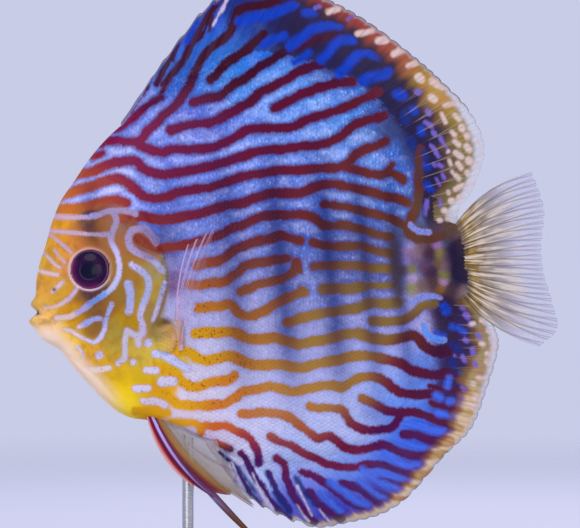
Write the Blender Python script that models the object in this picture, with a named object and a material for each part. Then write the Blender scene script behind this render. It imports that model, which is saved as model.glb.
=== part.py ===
"""A discus fish as a still, life-size museum model on a plain display stand.

The fish faces -X with its left flank toward -Y, and +Z is up. The origin is under the middle of the
stand's base. Lengths below are in millimetres and angles in degrees, anticlockwise from the tail as
the left flank is seen; meshes are written in metres.
"""

import math

import bmesh
import bpy
import numpy as np
from mathutils import Matrix, Vector

MM = 0.001
GAP = 0.3  # between neighbouring solids
TURN = 360.0

# The body's side outline is measured from the middle of the flank.
CENTRE_X = -16.6
CENTRE_Z = 89.7
OUTLINE = (
    (48.9, 89.7), (48.1, 95.9), (46.7, 100.5), (40.7, 101.6), (37.0, 110.1), (30.8, 123.5), (16.0, 137.1),
    (-3.8, 144.7), (-25.1, 143.6), (-40.7, 134.8), (-49.5, 128.0), (-54.0, 123.7), (-58.0, 118.9),
    (-62.2, 112.7), (-65.9, 107.3), (-68.7, 100.5), (-70.6, 93.7), (-72.1, 89.1), (-73.0, 84.3),
    (-73.3, 80.1), (-74.6, 77.5), (-72.8, 75.4), (-75.1, 72.8), (-73.4, 70.7), (-71.6, 68.0),
    (-66.2, 64.5), (-61.9, 59.1), (-57.0, 53.7), (-51.7, 48.5), (-46.3, 45.5), (-40.7, 44.6),
    (-33.6, 42.4), (-25.1, 38.7), (-13.7, 33.8), (0.5, 32.7), (14.6, 36.4), (30.2, 47.7),
    (40.7, 64.8), (45.8, 78.1), (49.2, 80.1), (49.5, 84.6),
)

# Half the thickness of the body: in the middle of the flank, and by direction from there the edge's,
# then two exponents of the cross-section between them.
MIDDLE_HALF = 12.0
SECTIONS = (
    (0.0, 2.2, 1.7, 0.90),
    (45.0, 1.7, 1.9, 0.85),
    (90.0, 1.8, 2.0, 0.80),
    (125.0, 1.7, 2.1, 0.70),
    (150.0, 1.2, 2.3, 0.52),
    (180.0, 1.0, 2.3, 0.52),
    (194.0, 1.6, 2.3, 0.62),
    (215.0, 1.0, 2.2, 0.52),
    (240.0, 1.8, 2.2, 0.52),
    (258.0, 2.0, 2.1, 0.60),
    (275.0, 1.8, 2.0, 0.80),
    (315.0, 1.7, 1.9, 0.85),
)
BODY_COLUMNS = 108
CLOSE_COLUMNS = ((194.0, 3.2, 8.0), (10.0, 2.0, 4.0), (350.0, 2.0, 4.0))  # direction, how much, how wide
OUTLINE_CORNERS = (
    (46.7, 100.5), (40.7, 101.6), (45.8, 78.1), (49.2, 80.1), (-74.6, 77.5), (-72.8, 75.4), (-75.1, 72.8)
)
BODY_ROWS = 21  # odd, so that a flat strip runs round the edge for the fins

# The gill cover's free edge, from the nape to the throat, parts the head from the trunk.
GILL_EDGE = (
    (-52.6, 132.8), (-48.0, 121.5), (-44.1, 110.1), (-40.7, 101.1), (-37.8, 94.5), (-36.1, 88.0),
    (-36.1, 81.8), (-37.5, 76.1), (-39.8, 71.0), (-42.6, 64.8), (-46.3, 57.7), (-51.4, 51.1), (-54.8, 43.5),
)
GILL_LIFT = 0.8
GILL_TOP = 98.0
GILL_FOOT = 55.0
STALK_X = 38.0  # the trunk ends and the tail stalk begins

EYE_X = -57.4
EYE_Z = 87.6
EYE_RADIUS = 5.3
EYE_RISE = 1.7
EYE_DEPTH = 3.4
EYE_FORWARD = 0.24  # how far the eye's axis leans toward the snout
NOSTRIL_X = -67.6
NOSTRIL_Z = 81.8
NOSTRIL_RADIUS = 0.55
MOUTH_NOTCH = (-72.8, 75.4)
MOUTH_CORNER = (-69.6, 74.5)
MOUTH_OPEN = 0.9

# A median fin's outer edge: a direction that gives the ray's root on the body, and the ray's tip.
DORSAL_TIPS = (
    (12.1, 45.0, 102.8), (17.8, 50.9, 110.1), (25.4, 54.3, 120.9), (35.5, 49.5, 133.4), (42.4, 43.0, 140.2),
    (55.4, 33.1, 149.0), (65.0, 22.3, 157.2), (76.9, 9.8, 164.3), (88.5, -2.4, 168.3), (99.0, -14.3, 168.8),
    (107.9, -23.4, 163.7), (118.1, -36.4, 147.6), (124.5, -42.1, 139.3), (130.7, -48.9, 129.1),
)
ANAL_TIPS = (
    (260.5, -24.5, 37.3), (266.0, -16.0, 25.9), (272.9, -6.1, 18.5), (279.9, 5.8, 14.3), (286.6, 14.6, 15.4),
    (300.3, 31.1, 21.7), (309.8, 43.0, 34.7), (318.1, 50.4, 42.1), (327.5, 54.9, 53.4), (336.5, 58.3, 65.9),
    (344.3, 56.2, 70.9), (349.4, 49.5, 77.0),
)
TAIL_TIPS = (
    (351.6, 69.9, 65.6), (353.1, 74.7, 69.9), (355.6, 73.6, 78.4), (358.5, 71.3, 86.0), (361.7, 70.5, 94.0),
    (365.5, 71.3, 105.0), (369.4, 67.9, 115.4),
)
DORSAL_SPINES = 9
DORSAL_SOFT = 30
DORSAL_SPLIT = 99.0
ANAL_SPINES = 8
ANAL_SOFT = 28
ANAL_SPLIT = 279.0
TAIL_RAYS = 16
TAIL_BOW = (1.3, 2.6)  # how far the tail's lowest and highest rays bow outward
SPLIT_HALF = 0.17  # half the gap between two lengths of one fin, as an angle
MEMBRANE_HALF = 0.27
EDGE_HALF = 0.2

# The paired fins, one row per guiding ray: root x, root z, tip x, tip z, tip's distance from the middle.
PELVIC_GUIDES = (
    (-40.9, 44.6, -29.3, 27.0, 6.5),
    (-40.1, 44.4, -21.6, 21.4, 8.2),
    (-39.3, 44.2, -8.9, 9.5, 9.0),
    (-38.5, 44.1, -19.5, 24.6, 8.6),
    (-37.7, 43.9, -11.2, 20.3, 8.4),
    (-36.8, 43.7, -17.2, 27.2, 7.6),
    (-36.0, 43.6, -23.6, 34.3, 6.4),
)
PELVIC_ROOT_Y = 2.7
PECTORAL_GUIDES = (
    (-36.7, 71.0, -29.3, 95.1, 17.0),
    (-35.8, 68.7, -22.8, 99.1, 22.5),
    (-35.0, 66.5, -25.1, 89.7, 27.0),
    (-33.9, 64.2, -27.3, 77.5, 26.0),
)
PECTORAL_RAYS = 12

BASE_LENGTH = 96.0
BASE_WIDTH = 60.0
BASE_HEIGHT = 5.0
BASE_CORNER = 8.0
BASE_EDGE = 0.8
BASE_X = -6.0
ROD_X = -29.9
ROD_RADIUS = 1.6
ROD_TOP = 44.0


class Curve:
    """A smooth curve through values at ascending keys, closed on itself where a turn is given."""

    def __init__(self, keys, values, turn=None, tight=False):
        keys = np.array(keys, float)
        values = np.array(values, float).reshape(len(keys), -1)
        if turn:
            keys = np.concatenate((keys[-3:] - turn, keys, keys[:3] + turn))
            values = np.concatenate((values[-3:], values, values[:3]))
        step = np.diff(keys)[:, None]
        rise = np.diff(values, axis=0) / step
        slope = np.concatenate((rise[:1], rise[1:], rise[-1:]))
        slope[1:-1] = (step[1:] * rise[:-1] + step[:-1] * rise[1:]) / (step[1:] + step[:-1])
        if tight:
            most = 2.0 * np.minimum(np.abs(rise[:-1]), np.abs(rise[1:]))
            slope[1:-1] = np.clip(slope[1:-1], -most, most)
            slope[1:-1][rise[:-1] * rise[1:] <= 0.0] = 0.0
        self.keys = keys
        self.values = values
        self.slope = slope

    def __call__(self, at):
        i = int(np.clip(np.searchsorted(self.keys, at) - 1, 0, len(self.keys) - 2))
        step = self.keys[i + 1] - self.keys[i]
        t = (at - self.keys[i]) / step
        start = (1 + 2 * t) * (1 - t) ** 2 * self.values[i] + t * (1 - t) ** 2 * step * self.slope[i]
        end = t * t * (3 - 2 * t) * self.values[i + 1] - t * t * (1 - t) * step * self.slope[i + 1]
        return start + end


def direction(point):
    """The direction of a point of the side view from the middle of the flank."""
    return math.degrees(math.atan2(point[1] - CENTRE_Z, point[0] - CENTRE_X)) % TURN


LEANS = np.arange(-24.0, 25.0, 3.0)
LEAN_SHARES = np.exp(-((LEANS / 13.0) ** 2)) / np.sum(np.exp(-((LEANS / 13.0) ** 2)))
OUTLINE_REACH = Curve(
    [direction(p) for p in OUTLINE],
    [math.hypot(p[0] - CENTRE_X, p[1] - CENTRE_Z) for p in OUTLINE],
    TURN,
    tight=True,
)
ROUND_REACH = Curve(
    np.arange(0.0, TURN, 6.0),
    [
        float(np.dot(LEAN_SHARES, [OUTLINE_REACH((angle + lean) % TURN)[0] for lean in LEANS]))
        for angle in np.arange(0.0, TURN, 6.0)
    ],
    TURN,
)
SECTION = Curve([row[0] for row in SECTIONS], [row[1:] for row in SECTIONS], TURN)
GILL_X = Curve([-z for _, z in GILL_EDGE], [x for x, _ in GILL_EDGE])


def near(value, middle, width):
    """A soft bump of height 1 at the middle."""
    return math.exp(-(((value - middle) / width) ** 2))


def relief(x, z, flap):
    """What the forms of the head and shoulder add to the half-thickness; flap is the gill cover's side."""
    shoulder = 0.6 * near(x, -32.0, 17.0) * near(z, 90.0, 22.0)
    lips = 0.5 * near(math.hypot(x + 72.5, z - 75.2), 0.0, 3.0)
    behind = float(GILL_X(-z)[0]) - x
    height = near(max(z - GILL_TOP, GILL_FOOT - z, 0.0), 0.0, 6.0)
    if flap:
        return shoulder + lips + GILL_LIFT * height * near(behind, 0.0, 9.0)
    return shoulder - 0.35 * height * near(behind, 0.0, 6.0)


def edge_point(angle, beyond=0.0):
    """A point of the side outline, moved outward."""
    reach = float(OUTLINE_REACH(angle % TURN)[0]) + beyond
    turn = math.radians(angle)
    return CENTRE_X + reach * math.cos(turn), CENTRE_Z + reach * math.sin(turn)


def inner_reach(angle, share):
    """How far out this share lies: along a rounded outline, and only near the edge along the true one."""
    smooth = float(ROUND_REACH(angle % TURN)[0])
    return smooth * share + (float(OUTLINE_REACH(angle % TURN)[0]) - smooth) * share**8


def half_thickness(angle, share):
    """Half the body's thickness at this share of the way from the middle to the outline."""
    edge, power, fall = SECTION(angle % TURN)
    return edge + (MIDDLE_HALF - edge) * (1.0 - share**power) ** fall


def surface_half(x, z, flap=False):
    """Half the body's thickness at a point of the side view."""
    angle = direction((x, z))
    reach = math.hypot(x - CENTRE_X, z - CENTRE_Z)
    share = 0.5
    for _ in range(8):
        share = min(1.0, share * reach / inner_reach(angle, share))
    return half_thickness(angle, share) + relief(x, z, flap)


def column_angles():
    """The directions of the body's columns: close together round the head, closest at the mouth and tail.

    A column runs to each corner of the outline.
    """
    fine = np.linspace(0.0, TURN, 1441)
    weight = 1.0 + 0.8 * np.exp(-(((fine - 190.0) / 42.0) ** 2))
    for middle, more, width in CLOSE_COLUMNS:
        weight += more * np.exp(-(((fine - middle) / width) ** 2))
    total = np.concatenate(((0.0,), np.cumsum((weight[1:] + weight[:-1]) / 2)))
    angles = np.interp(np.arange(BODY_COLUMNS) * total[-1] / BODY_COLUMNS, total, fine)
    for corner in OUTLINE_CORNERS:
        angle = direction(corner)
        angles[np.argmin(np.abs(angles - angle))] = angle
    return angles


def material(name, colour, roughness, metallic=0.0):
    made = bpy.data.materials.new(name)
    made.use_nodes = True
    shader = made.node_tree.nodes["Principled BSDF"]
    shader.inputs["Base Color"].default_value = (*colour, 1.0)
    shader.inputs["Roughness"].default_value = roughness
    shader.inputs["Metallic"].default_value = metallic
    return made


def place(bm, name, finish=None, smooth=40.0):
    """Writes a mesh given in millimetres as an object in metres, under the model's empty."""
    bmesh.ops.recalc_face_normals(bm, faces=bm.faces)
    if bm.calc_volume(signed=True) < 0.0:
        bmesh.ops.reverse_faces(bm, faces=bm.faces)
    bmesh.ops.scale(bm, vec=(MM, MM, MM), verts=bm.verts)
    mesh = bpy.data.meshes.new(name)
    bm.to_mesh(mesh)
    bm.free()
    made = bpy.data.objects.new(name, mesh)
    bpy.context.collection.objects.link(made)
    made.parent = MODEL
    if finish:
        mesh.materials.append(finish)
        mesh.shade_smooth()
        mesh.set_sharp_from_angle(angle=math.radians(smooth))
    else:
        made.hide_render = True
        made.display_type = "WIRE"
    return made


def body(name, finish=None, flap=False, beyond=0.0):
    """The whole body without fins: a sphere whose equator follows the side outline."""
    bm = bmesh.new()
    bmesh.ops.create_uvsphere(bm, u_segments=BODY_COLUMNS, v_segments=BODY_ROWS, radius=1.0)
    angles = column_angles()
    first = math.pi / BODY_ROWS / 2
    for vert in bm.verts:
        latitude = abs(math.asin(max(-1.0, min(1.0, vert.co.z))))
        share = math.cos(max(0.0, latitude - first) / (math.pi / 2 - first) * math.pi / 2)
        column = round(math.atan2(vert.co.y, vert.co.x) / math.tau * BODY_COLUMNS) % BODY_COLUMNS
        angle = angles[column] if share > 1e-6 else 0.0
        side = 1.0 if vert.co.z > 0.0 else -1.0
        reach = inner_reach(angle, share) + beyond * share
        x = CENTRE_X + reach * math.cos(math.radians(angle))
        z = CENTRE_Z + reach * math.sin(math.radians(angle))
        y = half_thickness(angle, share) + relief(x, z, flap) + beyond
        vert.co = (x, -side * y, z)
    bmesh.ops.triangulate(bm, faces=bm.faces)
    return place(bm, name, finish)


def prism(name, points, low, high):
    """A cutter: a polygon of the side view, drawn out from y low to y high."""
    bm = bmesh.new()
    verts = [bm.verts.new((x, low, z)) for x, z in points]
    face = bm.faces.new(verts)
    drawn = bmesh.ops.extrude_face_region(bm, geom=[face])["geom"]
    moved = [item for item in drawn if isinstance(item, bmesh.types.BMVert)]
    bmesh.ops.translate(bm, vec=(0.0, high - low, 0.0), verts=moved)
    bmesh.ops.triangulate(bm, faces=bm.faces)
    return place(bm, name)


def turned(profile, steps, frame):
    """A closed body of revolution: radius and height pairs, from the axis and back to it."""
    bm = bmesh.new()
    verts = [bm.verts.new((radius, 0.0, height)) for radius, height in profile]
    edges = [bm.edges.new(pair) for pair in zip(verts, verts[1:])]
    bmesh.ops.spin(
        bm, geom=verts + edges, cent=(0, 0, 0), axis=(0, 0, 1), angle=math.tau, steps=steps, use_merge=True
    )
    bmesh.ops.remove_doubles(bm, verts=bm.verts, dist=0.001)
    bmesh.ops.transform(bm, matrix=frame, verts=bm.verts)
    return bm


def cut(target, operation, *tools):
    """Cuts, then keeps the largest closed surface."""
    for tool in tools:
        change = target.modifiers.new(tool.name, "BOOLEAN")
        change.operation = operation
        change.object = tool
    view = bpy.context.evaluated_depsgraph_get()
    bm = bmesh.new()
    bm.from_mesh(target.evaluated_get(view).to_mesh())
    target.modifiers.clear()
    shells = []
    waiting = set(bm.verts)
    while waiting:
        reached = [waiting.pop()]
        for vert in reached:
            for edge in vert.link_edges:
                other = edge.other_vert(vert)
                if other in waiting:
                    waiting.discard(other)
                    reached.append(other)
        shells.append(reached)
    shells.sort(key=len)
    for shell in shells[:-1]:
        bmesh.ops.delete(bm, geom=shell, context="VERTS")
    bm.to_mesh(target.data)
    bm.free()


def web(name, finish, rays, rows, spot):
    """A fin: a thin slab of columns, one on each ray's crest and one between, its vertices set by spot.

    spot takes how far across the fin, how far out, the side (-1 or 1) and whether this is a crest.
    """
    columns = 2 * (rays - 1)
    bm = bmesh.new()
    bmesh.ops.create_grid(bm, x_segments=columns, y_segments=rows, size=0.5)
    bmesh.ops.triangulate(bm, faces=bm.faces)
    drawn = bmesh.ops.extrude_face_region(bm, geom=bm.faces[:])["geom"]
    moved = [item for item in drawn if isinstance(item, bmesh.types.BMVert)]
    bmesh.ops.translate(bm, vec=(0.0, 0.0, 1.0), verts=moved)
    for vert in bm.verts:
        column = round((vert.co.x + 0.5) * columns)
        out = vert.co.y + 0.5
        side = 1.0 if vert.co.z > 0.5 else -1.0
        vert.co = spot(column / columns, out, side, column % 2 == 0)
    return place(bm, name, finish, 70.0)


def sway(x, z):
    """A slow wave across the median fins, growing outward from the body."""
    far = math.hypot(x - CENTRE_X, z - CENTRE_Z) - float(OUTLINE_REACH(direction((x, z)))[0])
    return 1.1 * (max(far, 0.0) / 20.0) ** 1.5 * math.sin(0.11 * x + 0.05 * z)


def median_fin(name, finish, tips, start, end, rays, spiny, rows, bow=(0.0, 0.0)):
    """A length of a median fin, from one direction to another along the body's edge."""
    guide = Curve([tip[0] for tip in tips], [tip[1:] for tip in tips])
    crest_height = 0.34 if spiny else 0.22
    notch = 0.07 if spiny else 0.018

    def spot(across, out, side, crest):
        angle = start + (end - start) * across
        root_x, root_z = edge_point(angle, GAP)
        tip_x, tip_z = guide(angle)
        out = out**1.25
        length = math.hypot(tip_x - root_x, tip_z - root_z)
        reach = out * (1.0 if crest else 1.0 - notch)
        aside = (bow[1] * across - bow[0] * (1.0 - across)) * 4.0 * reach * (1.0 - reach) / length
        x = root_x + (tip_x - root_x) * reach - (tip_z - root_z) * aside
        z = root_z + (tip_z - root_z) * reach + (tip_x - root_x) * aside
        root_half = float(SECTION(angle % TURN)[0])
        flesh = math.exp(-out * length / 4.5)
        half = MEMBRANE_HALF + (EDGE_HALF - MEMBRANE_HALF) * out**4
        half = half + (root_half - half) * flesh
        if crest:
            half += crest_height * (1.0 - out) ** 0.7 * (1.0 - flesh)
        return x, sway(x, z) + side * half, z

    return web(name, finish, rays, rows, spot)


def paired_fin(name, finish, guides, rays, rows, hand, root_y, sink, bend, notch, root_half):
    """A pectoral or pelvic fin; hand is -1 for the left, root_y its root's distance from the middle."""
    keys = [i / (len(guides) - 1) for i in range(len(guides))]
    guide = Curve(keys, guides, tight=True)
    fan = Vector(guides[-1]) - Vector(guides[0])
    spread = Vector((fan[0] + fan[2], fan[4], fan[1] + fan[3]))

    def spot(across, out, side, crest):
        root_x, root_z, tip_x, tip_z, tip_y = guide(across)
        root = Vector((root_x, root_y, root_z)) + sink
        tip = Vector((tip_x, tip_y, tip_z))
        middle = (root + tip) / 2 + bend
        reach = out * (1.0 if crest else 1.0 - notch)
        point = root * (1 - reach) ** 2 + middle * 2 * reach * (1 - reach) + tip * reach**2
        along = (tip - root).normalized()
        face = along.cross(spread).normalized()
        half = MEMBRANE_HALF + (EDGE_HALF - MEMBRANE_HALF) * out + root_half * (1.0 - out) ** 5
        if crest:
            half += 0.2 * (1.0 - out)
        point += face * side * half
        return point.x, hand * point.y, point.z

    return web(name, finish, rays, rows, spot)


for old in list(bpy.data.objects):
    bpy.data.objects.remove(old)

MODEL = bpy.data.objects.new("discus", None)
bpy.context.collection.objects.link(MODEL)

HEAD = material("head_skin", (0.62, 0.36, 0.10), 0.35)
FLANK = material("flank_skin", (0.20, 0.36, 0.75), 0.35)
STALK = material("stalk_skin", (0.30, 0.22, 0.25), 0.35)
BLUE_FIN = material("blue_fin", (0.06, 0.14, 0.55), 0.35)
REAR_FIN = material("rear_fin", (0.45, 0.38, 0.25), 0.35)
CLEAR_FIN = material("clear_fin", (0.75, 0.72, 0.66), 0.3)
RED_FIN = material("red_fin", (0.45, 0.12, 0.12), 0.35)
EYE = material("eye", (0.05, 0.01, 0.06), 0.05)
STEEL = material("stand_steel", (0.6, 0.6, 0.6), 0.3, 1.0)
PAINT = material("stand_paint", (0.02, 0.02, 0.02), 0.4)

# The gill edge as a smooth run of points, and the prisms that part the body
edge_heights = np.linspace(GILL_EDGE[0][1], GILL_EDGE[-1][1], 34)
gill_points = [(float(GILL_X(-z)[0]), float(z)) for z in edge_heights]
AHEAD = -90.0
ABOVE = 180.0
BELOW = 20.0
BEHIND = 90.0
WIDE = 30.0
head_region = prism(
    "head_region",
    [(AHEAD, BELOW), *gill_points[::-1], (gill_points[0][0], ABOVE), (AHEAD, ABOVE)],
    -WIDE, WIDE,
)
trunk_edge = [(x + GAP * 1.15, z) for x, z in gill_points]
trunk_region = prism(
    "trunk_region",
    [(trunk_edge[-1][0], BELOW), (STALK_X - GAP / 2, BELOW), (STALK_X - GAP / 2, ABOVE),
     (trunk_edge[0][0], ABOVE), *trunk_edge],
    -WIDE, WIDE,
)
stalk_region = prism(
    "stalk_region",
    [(STALK_X + GAP / 2, BELOW), (BEHIND, BELOW), (BEHIND, ABOVE), (STALK_X + GAP / 2, ABOVE)],
    -WIDE, WIDE,
)
around = body("body_clearance", flap=False, beyond=GAP)

# Head, with its eye sockets, mouth and nostrils
mouth = prism(
    "mouth_line",
    [(AHEAD, MOUTH_NOTCH[1] + 2.0), (MOUTH_NOTCH[0] - 1.0, MOUTH_NOTCH[1] + MOUTH_OPEN / 2), MOUTH_CORNER,
     (MOUTH_NOTCH[0] - 1.0, MOUTH_NOTCH[1] - MOUTH_OPEN / 2), (AHEAD, MOUTH_NOTCH[1] - 2.0)],
    -WIDE, WIDE,
)
eye_half = surface_half(EYE_X, EYE_Z, True)
nostril_half = surface_half(NOSTRIL_X, NOSTRIL_Z, True)
sockets = []
for hand, word in ((-1, "left"), (1, "right")):
    outward = Vector((-EYE_FORWARD, hand, 0.04)).normalized()
    lean = outward.to_track_quat("Z", "Y").to_matrix().to_4x4()
    frame = Matrix.Translation((EYE_X, hand * eye_half, EYE_Z)) @ lean
    dome = [
        (EYE_RADIUS * math.sin(turn), EYE_RISE * math.cos(turn))
        for turn in (0.0, math.radians(30), math.radians(60), math.radians(90))
    ]
    place(turned([*dome, (EYE_RADIUS, -EYE_DEPTH), (0.0, -EYE_DEPTH)], 28, frame), f"eye_{word}", EYE)
    wide = EYE_RADIUS + GAP
    socket = [(0.0, 6.0), (wide, 6.0), (wide, -EYE_DEPTH - GAP), (0.0, -EYE_DEPTH - GAP)]
    sockets.append(place(turned(socket, 28, frame), f"eye_socket_{word}"))
    frame = Matrix.Translation((NOSTRIL_X, hand * nostril_half, NOSTRIL_Z)) @ Matrix.Rotation(
        -hand * math.pi / 2, 4, "X"
    )
    pit = [(0.0, 3.0), (NOSTRIL_RADIUS, 3.0), (NOSTRIL_RADIUS, -0.9), (0.0, -0.9)]
    sockets.append(place(turned(pit, 8, frame), f"nostril_{word}"))
head = body("head", HEAD, flap=True)
cut(head, "INTERSECT", head_region)
cut(head, "DIFFERENCE", mouth, *sockets)

trunk = body("trunk", FLANK)
cut(trunk, "INTERSECT", trunk_region)
stalk = body("tail_stalk", STALK)
cut(stalk, "INTERSECT", stalk_region)

# Median fins
median_fin("dorsal_fin_front", BLUE_FIN, DORSAL_TIPS, DORSAL_TIPS[-1][0], DORSAL_SPLIT + SPLIT_HALF,
           DORSAL_SPINES, True, 5)
median_fin("dorsal_fin_rear", REAR_FIN, DORSAL_TIPS, DORSAL_SPLIT - SPLIT_HALF, DORSAL_TIPS[0][0],
           DORSAL_SOFT, False, 5)
median_fin("anal_fin_front", BLUE_FIN, ANAL_TIPS, ANAL_TIPS[0][0], ANAL_SPLIT - SPLIT_HALF,
           ANAL_SPINES, True, 5)
median_fin("anal_fin_rear", REAR_FIN, ANAL_TIPS, ANAL_SPLIT + SPLIT_HALF, ANAL_TIPS[-1][0],
           ANAL_SOFT, False, 5)
median_fin("tail_fin", CLEAR_FIN, TAIL_TIPS, TAIL_TIPS[0][0], TAIL_TIPS[-1][0], TAIL_RAYS, False, 6,
           TAIL_BOW)

# Paired fins, their roots sunk into the body and cut back to its surface
pectoral_root = surface_half(-35.4, 67.6)
for hand, word in ((-1, "left"), (1, "right")):
    fin = paired_fin(f"pelvic_fin_{word}", RED_FIN, PELVIC_GUIDES, 7, 7, hand, PELVIC_ROOT_Y,
                     Vector((-1.0, 0.0, 3.0)), Vector((-2.0, 0.0, -3.0)), 0.1, 0.5)
    cut(fin, "DIFFERENCE", around)
    fin = paired_fin(f"pectoral_fin_{word}", CLEAR_FIN, PECTORAL_GUIDES, PECTORAL_RAYS, 6, hand,
                     pectoral_root, Vector((-1.5, -2.5, -1.0)), Vector((0.5, 2.5, -4.0)), 0.02, 0.6)
    cut(fin, "DIFFERENCE", around)

# Stand: a flat base with rounded corners, and one rod up to the belly
bm = bmesh.new()
bmesh.ops.create_cube(bm, size=1.0)
bmesh.ops.scale(bm, vec=(BASE_LENGTH, BASE_WIDTH, BASE_HEIGHT), verts=bm.verts)
bmesh.ops.translate(bm, vec=(BASE_X, 0.0, BASE_HEIGHT / 2), verts=bm.verts)
upright = [e for e in bm.edges if abs(e.verts[0].co.z - e.verts[1].co.z) > 1.0]
bmesh.ops.bevel(bm, geom=upright, offset=BASE_CORNER, segments=5, profile=0.5, affect="EDGES", material=-1)
rim = [e for e in bm.edges if min(v.co.z for v in e.verts) > BASE_HEIGHT - 0.01 and len(e.link_faces) == 2
       and max(abs(f.normal.z) for f in e.link_faces) > 0.9]
bmesh.ops.bevel(bm, geom=rim, offset=BASE_EDGE, segments=2, profile=0.5, affect="EDGES", material=-1)
place(bm, "stand_base", PAINT, 30.0)

bm = bmesh.new()
foot = BASE_HEIGHT + GAP
bmesh.ops.create_cone(
    bm, cap_ends=True, segments=16, radius1=ROD_RADIUS, radius2=ROD_RADIUS, depth=ROD_TOP - foot
)
bmesh.ops.translate(bm, vec=(ROD_X, 0.0, (ROD_TOP + foot) / 2), verts=bm.verts)
rod = place(bm, "stand_rod", STEEL)
cut(rod, "DIFFERENCE", around)
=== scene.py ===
import math
import random

import bmesh
import bpy
import numpy as np
from mathutils import Matrix, Vector


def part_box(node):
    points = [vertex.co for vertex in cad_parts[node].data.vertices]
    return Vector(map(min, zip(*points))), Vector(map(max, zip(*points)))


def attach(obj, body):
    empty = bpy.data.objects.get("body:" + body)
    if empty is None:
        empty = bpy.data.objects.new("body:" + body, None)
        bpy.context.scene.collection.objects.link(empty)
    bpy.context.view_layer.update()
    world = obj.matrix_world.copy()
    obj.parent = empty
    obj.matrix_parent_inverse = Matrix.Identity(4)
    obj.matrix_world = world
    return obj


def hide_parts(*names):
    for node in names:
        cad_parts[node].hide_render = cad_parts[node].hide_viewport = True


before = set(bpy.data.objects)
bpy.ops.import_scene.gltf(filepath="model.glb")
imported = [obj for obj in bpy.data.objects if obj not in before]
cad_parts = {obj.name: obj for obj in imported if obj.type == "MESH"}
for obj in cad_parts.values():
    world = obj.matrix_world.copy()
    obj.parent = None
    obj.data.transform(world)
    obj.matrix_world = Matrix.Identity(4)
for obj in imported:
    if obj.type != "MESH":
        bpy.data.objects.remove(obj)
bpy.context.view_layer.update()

# The fish's body is one continuous skin from the lips to the tail stalk, deep and flat like a plate.
# On a museum model it is a cast with the mouth, nostrils, gill covers and eye sockets modelled in.
# It faces -X with its left flank toward -Y. Sizes are in millimetres; meshes are in metres.
MM = 0.001
TURN = 360.0
CENTRE_X = -16.6
CENTRE_Z = 89.7
OUTLINE = (
    (48.9, 89.7), (48.1, 95.9), (46.7, 100.5), (40.7, 101.6), (37.0, 110.1), (30.8, 123.5), (16.0, 137.1),
    (-3.8, 144.7), (-25.1, 143.6), (-40.7, 134.8), (-49.5, 128.0), (-54.0, 123.7), (-58.0, 118.9),
    (-62.2, 112.7), (-65.9, 107.3), (-68.7, 100.5), (-70.6, 93.7), (-72.1, 89.1), (-73.0, 84.3),
    (-73.3, 80.1), (-74.6, 77.5), (-72.8, 75.4), (-75.1, 72.8), (-73.4, 70.7), (-71.6, 68.0),
    (-66.2, 64.5), (-61.9, 59.1), (-57.0, 53.7), (-51.7, 48.5), (-46.3, 45.5), (-40.7, 44.6),
    (-33.6, 42.4), (-25.1, 38.7), (-13.7, 33.8), (0.5, 32.7), (14.6, 36.4), (30.2, 47.7),
    (40.7, 64.8), (45.8, 78.1), (49.2, 80.1), (49.5, 84.6),
)
MIDDLE_HALF = 12.0
SECTIONS = (  # direction, half the edge's thickness, and two exponents of the cross-section
    (0.0, 2.2, 1.7, 0.90), (45.0, 1.7, 1.9, 0.85), (90.0, 1.8, 2.0, 0.80), (125.0, 1.7, 2.1, 0.70),
    (150.0, 1.2, 2.3, 0.52), (180.0, 1.0, 2.3, 0.52), (194.0, 1.6, 2.3, 0.62), (215.0, 1.0, 2.2, 0.52),
    (240.0, 1.8, 2.2, 0.52), (258.0, 2.0, 2.1, 0.60), (275.0, 1.8, 2.0, 0.80), (315.0, 1.7, 1.9, 0.85),
)
GILL_EDGE = (
    (-52.6, 132.8), (-48.0, 121.5), (-44.1, 110.1), (-40.7, 101.1), (-37.8, 94.5), (-36.1, 88.0),
    (-36.1, 81.8), (-37.5, 76.1), (-39.8, 71.0), (-42.6, 64.8), (-46.3, 57.7), (-51.4, 51.1), (-54.8, 43.5),
)
GILL_LIFT = 0.8
GILL_TOP = 98.0
GILL_FOOT = 76.0
CHEEK_EDGE = ((-46.5, 92.0), (-44.6, 84.0), (-45.0, 76.0), (-47.8, 69.0), (-53.0, 63.5), (-60.0, 62.0))
FACE_EDGE = (  # scales begin behind this line
    (-62.5, 121.0), (-55.0, 114.5), (-46.9, 110.1), (-40.7, 103.0), (-37.4, 89.7), (-37.0, 73.3),
    (-38.6, 64.2), (-33.0, 55.0), (-27.5, 47.0), (-25.0, 38.0),
)
EYE_X = -57.4
EYE_Z = 87.6
EYE_RADIUS = 5.3
EYE_FORWARD = 0.24  # how far the eye's axis leans toward the snout
NOSTRIL = (-67.6, 81.8)
MOUTH_NOTCH = (-73.6, 75.3)
MOUTH_CORNER = (-69.4, 74.3)
SKIN_COLUMNS = 460
SKIN_ROWS = 181
COAT_DEPTH = 0.17
BARE_DEPTH = 0.05


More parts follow.
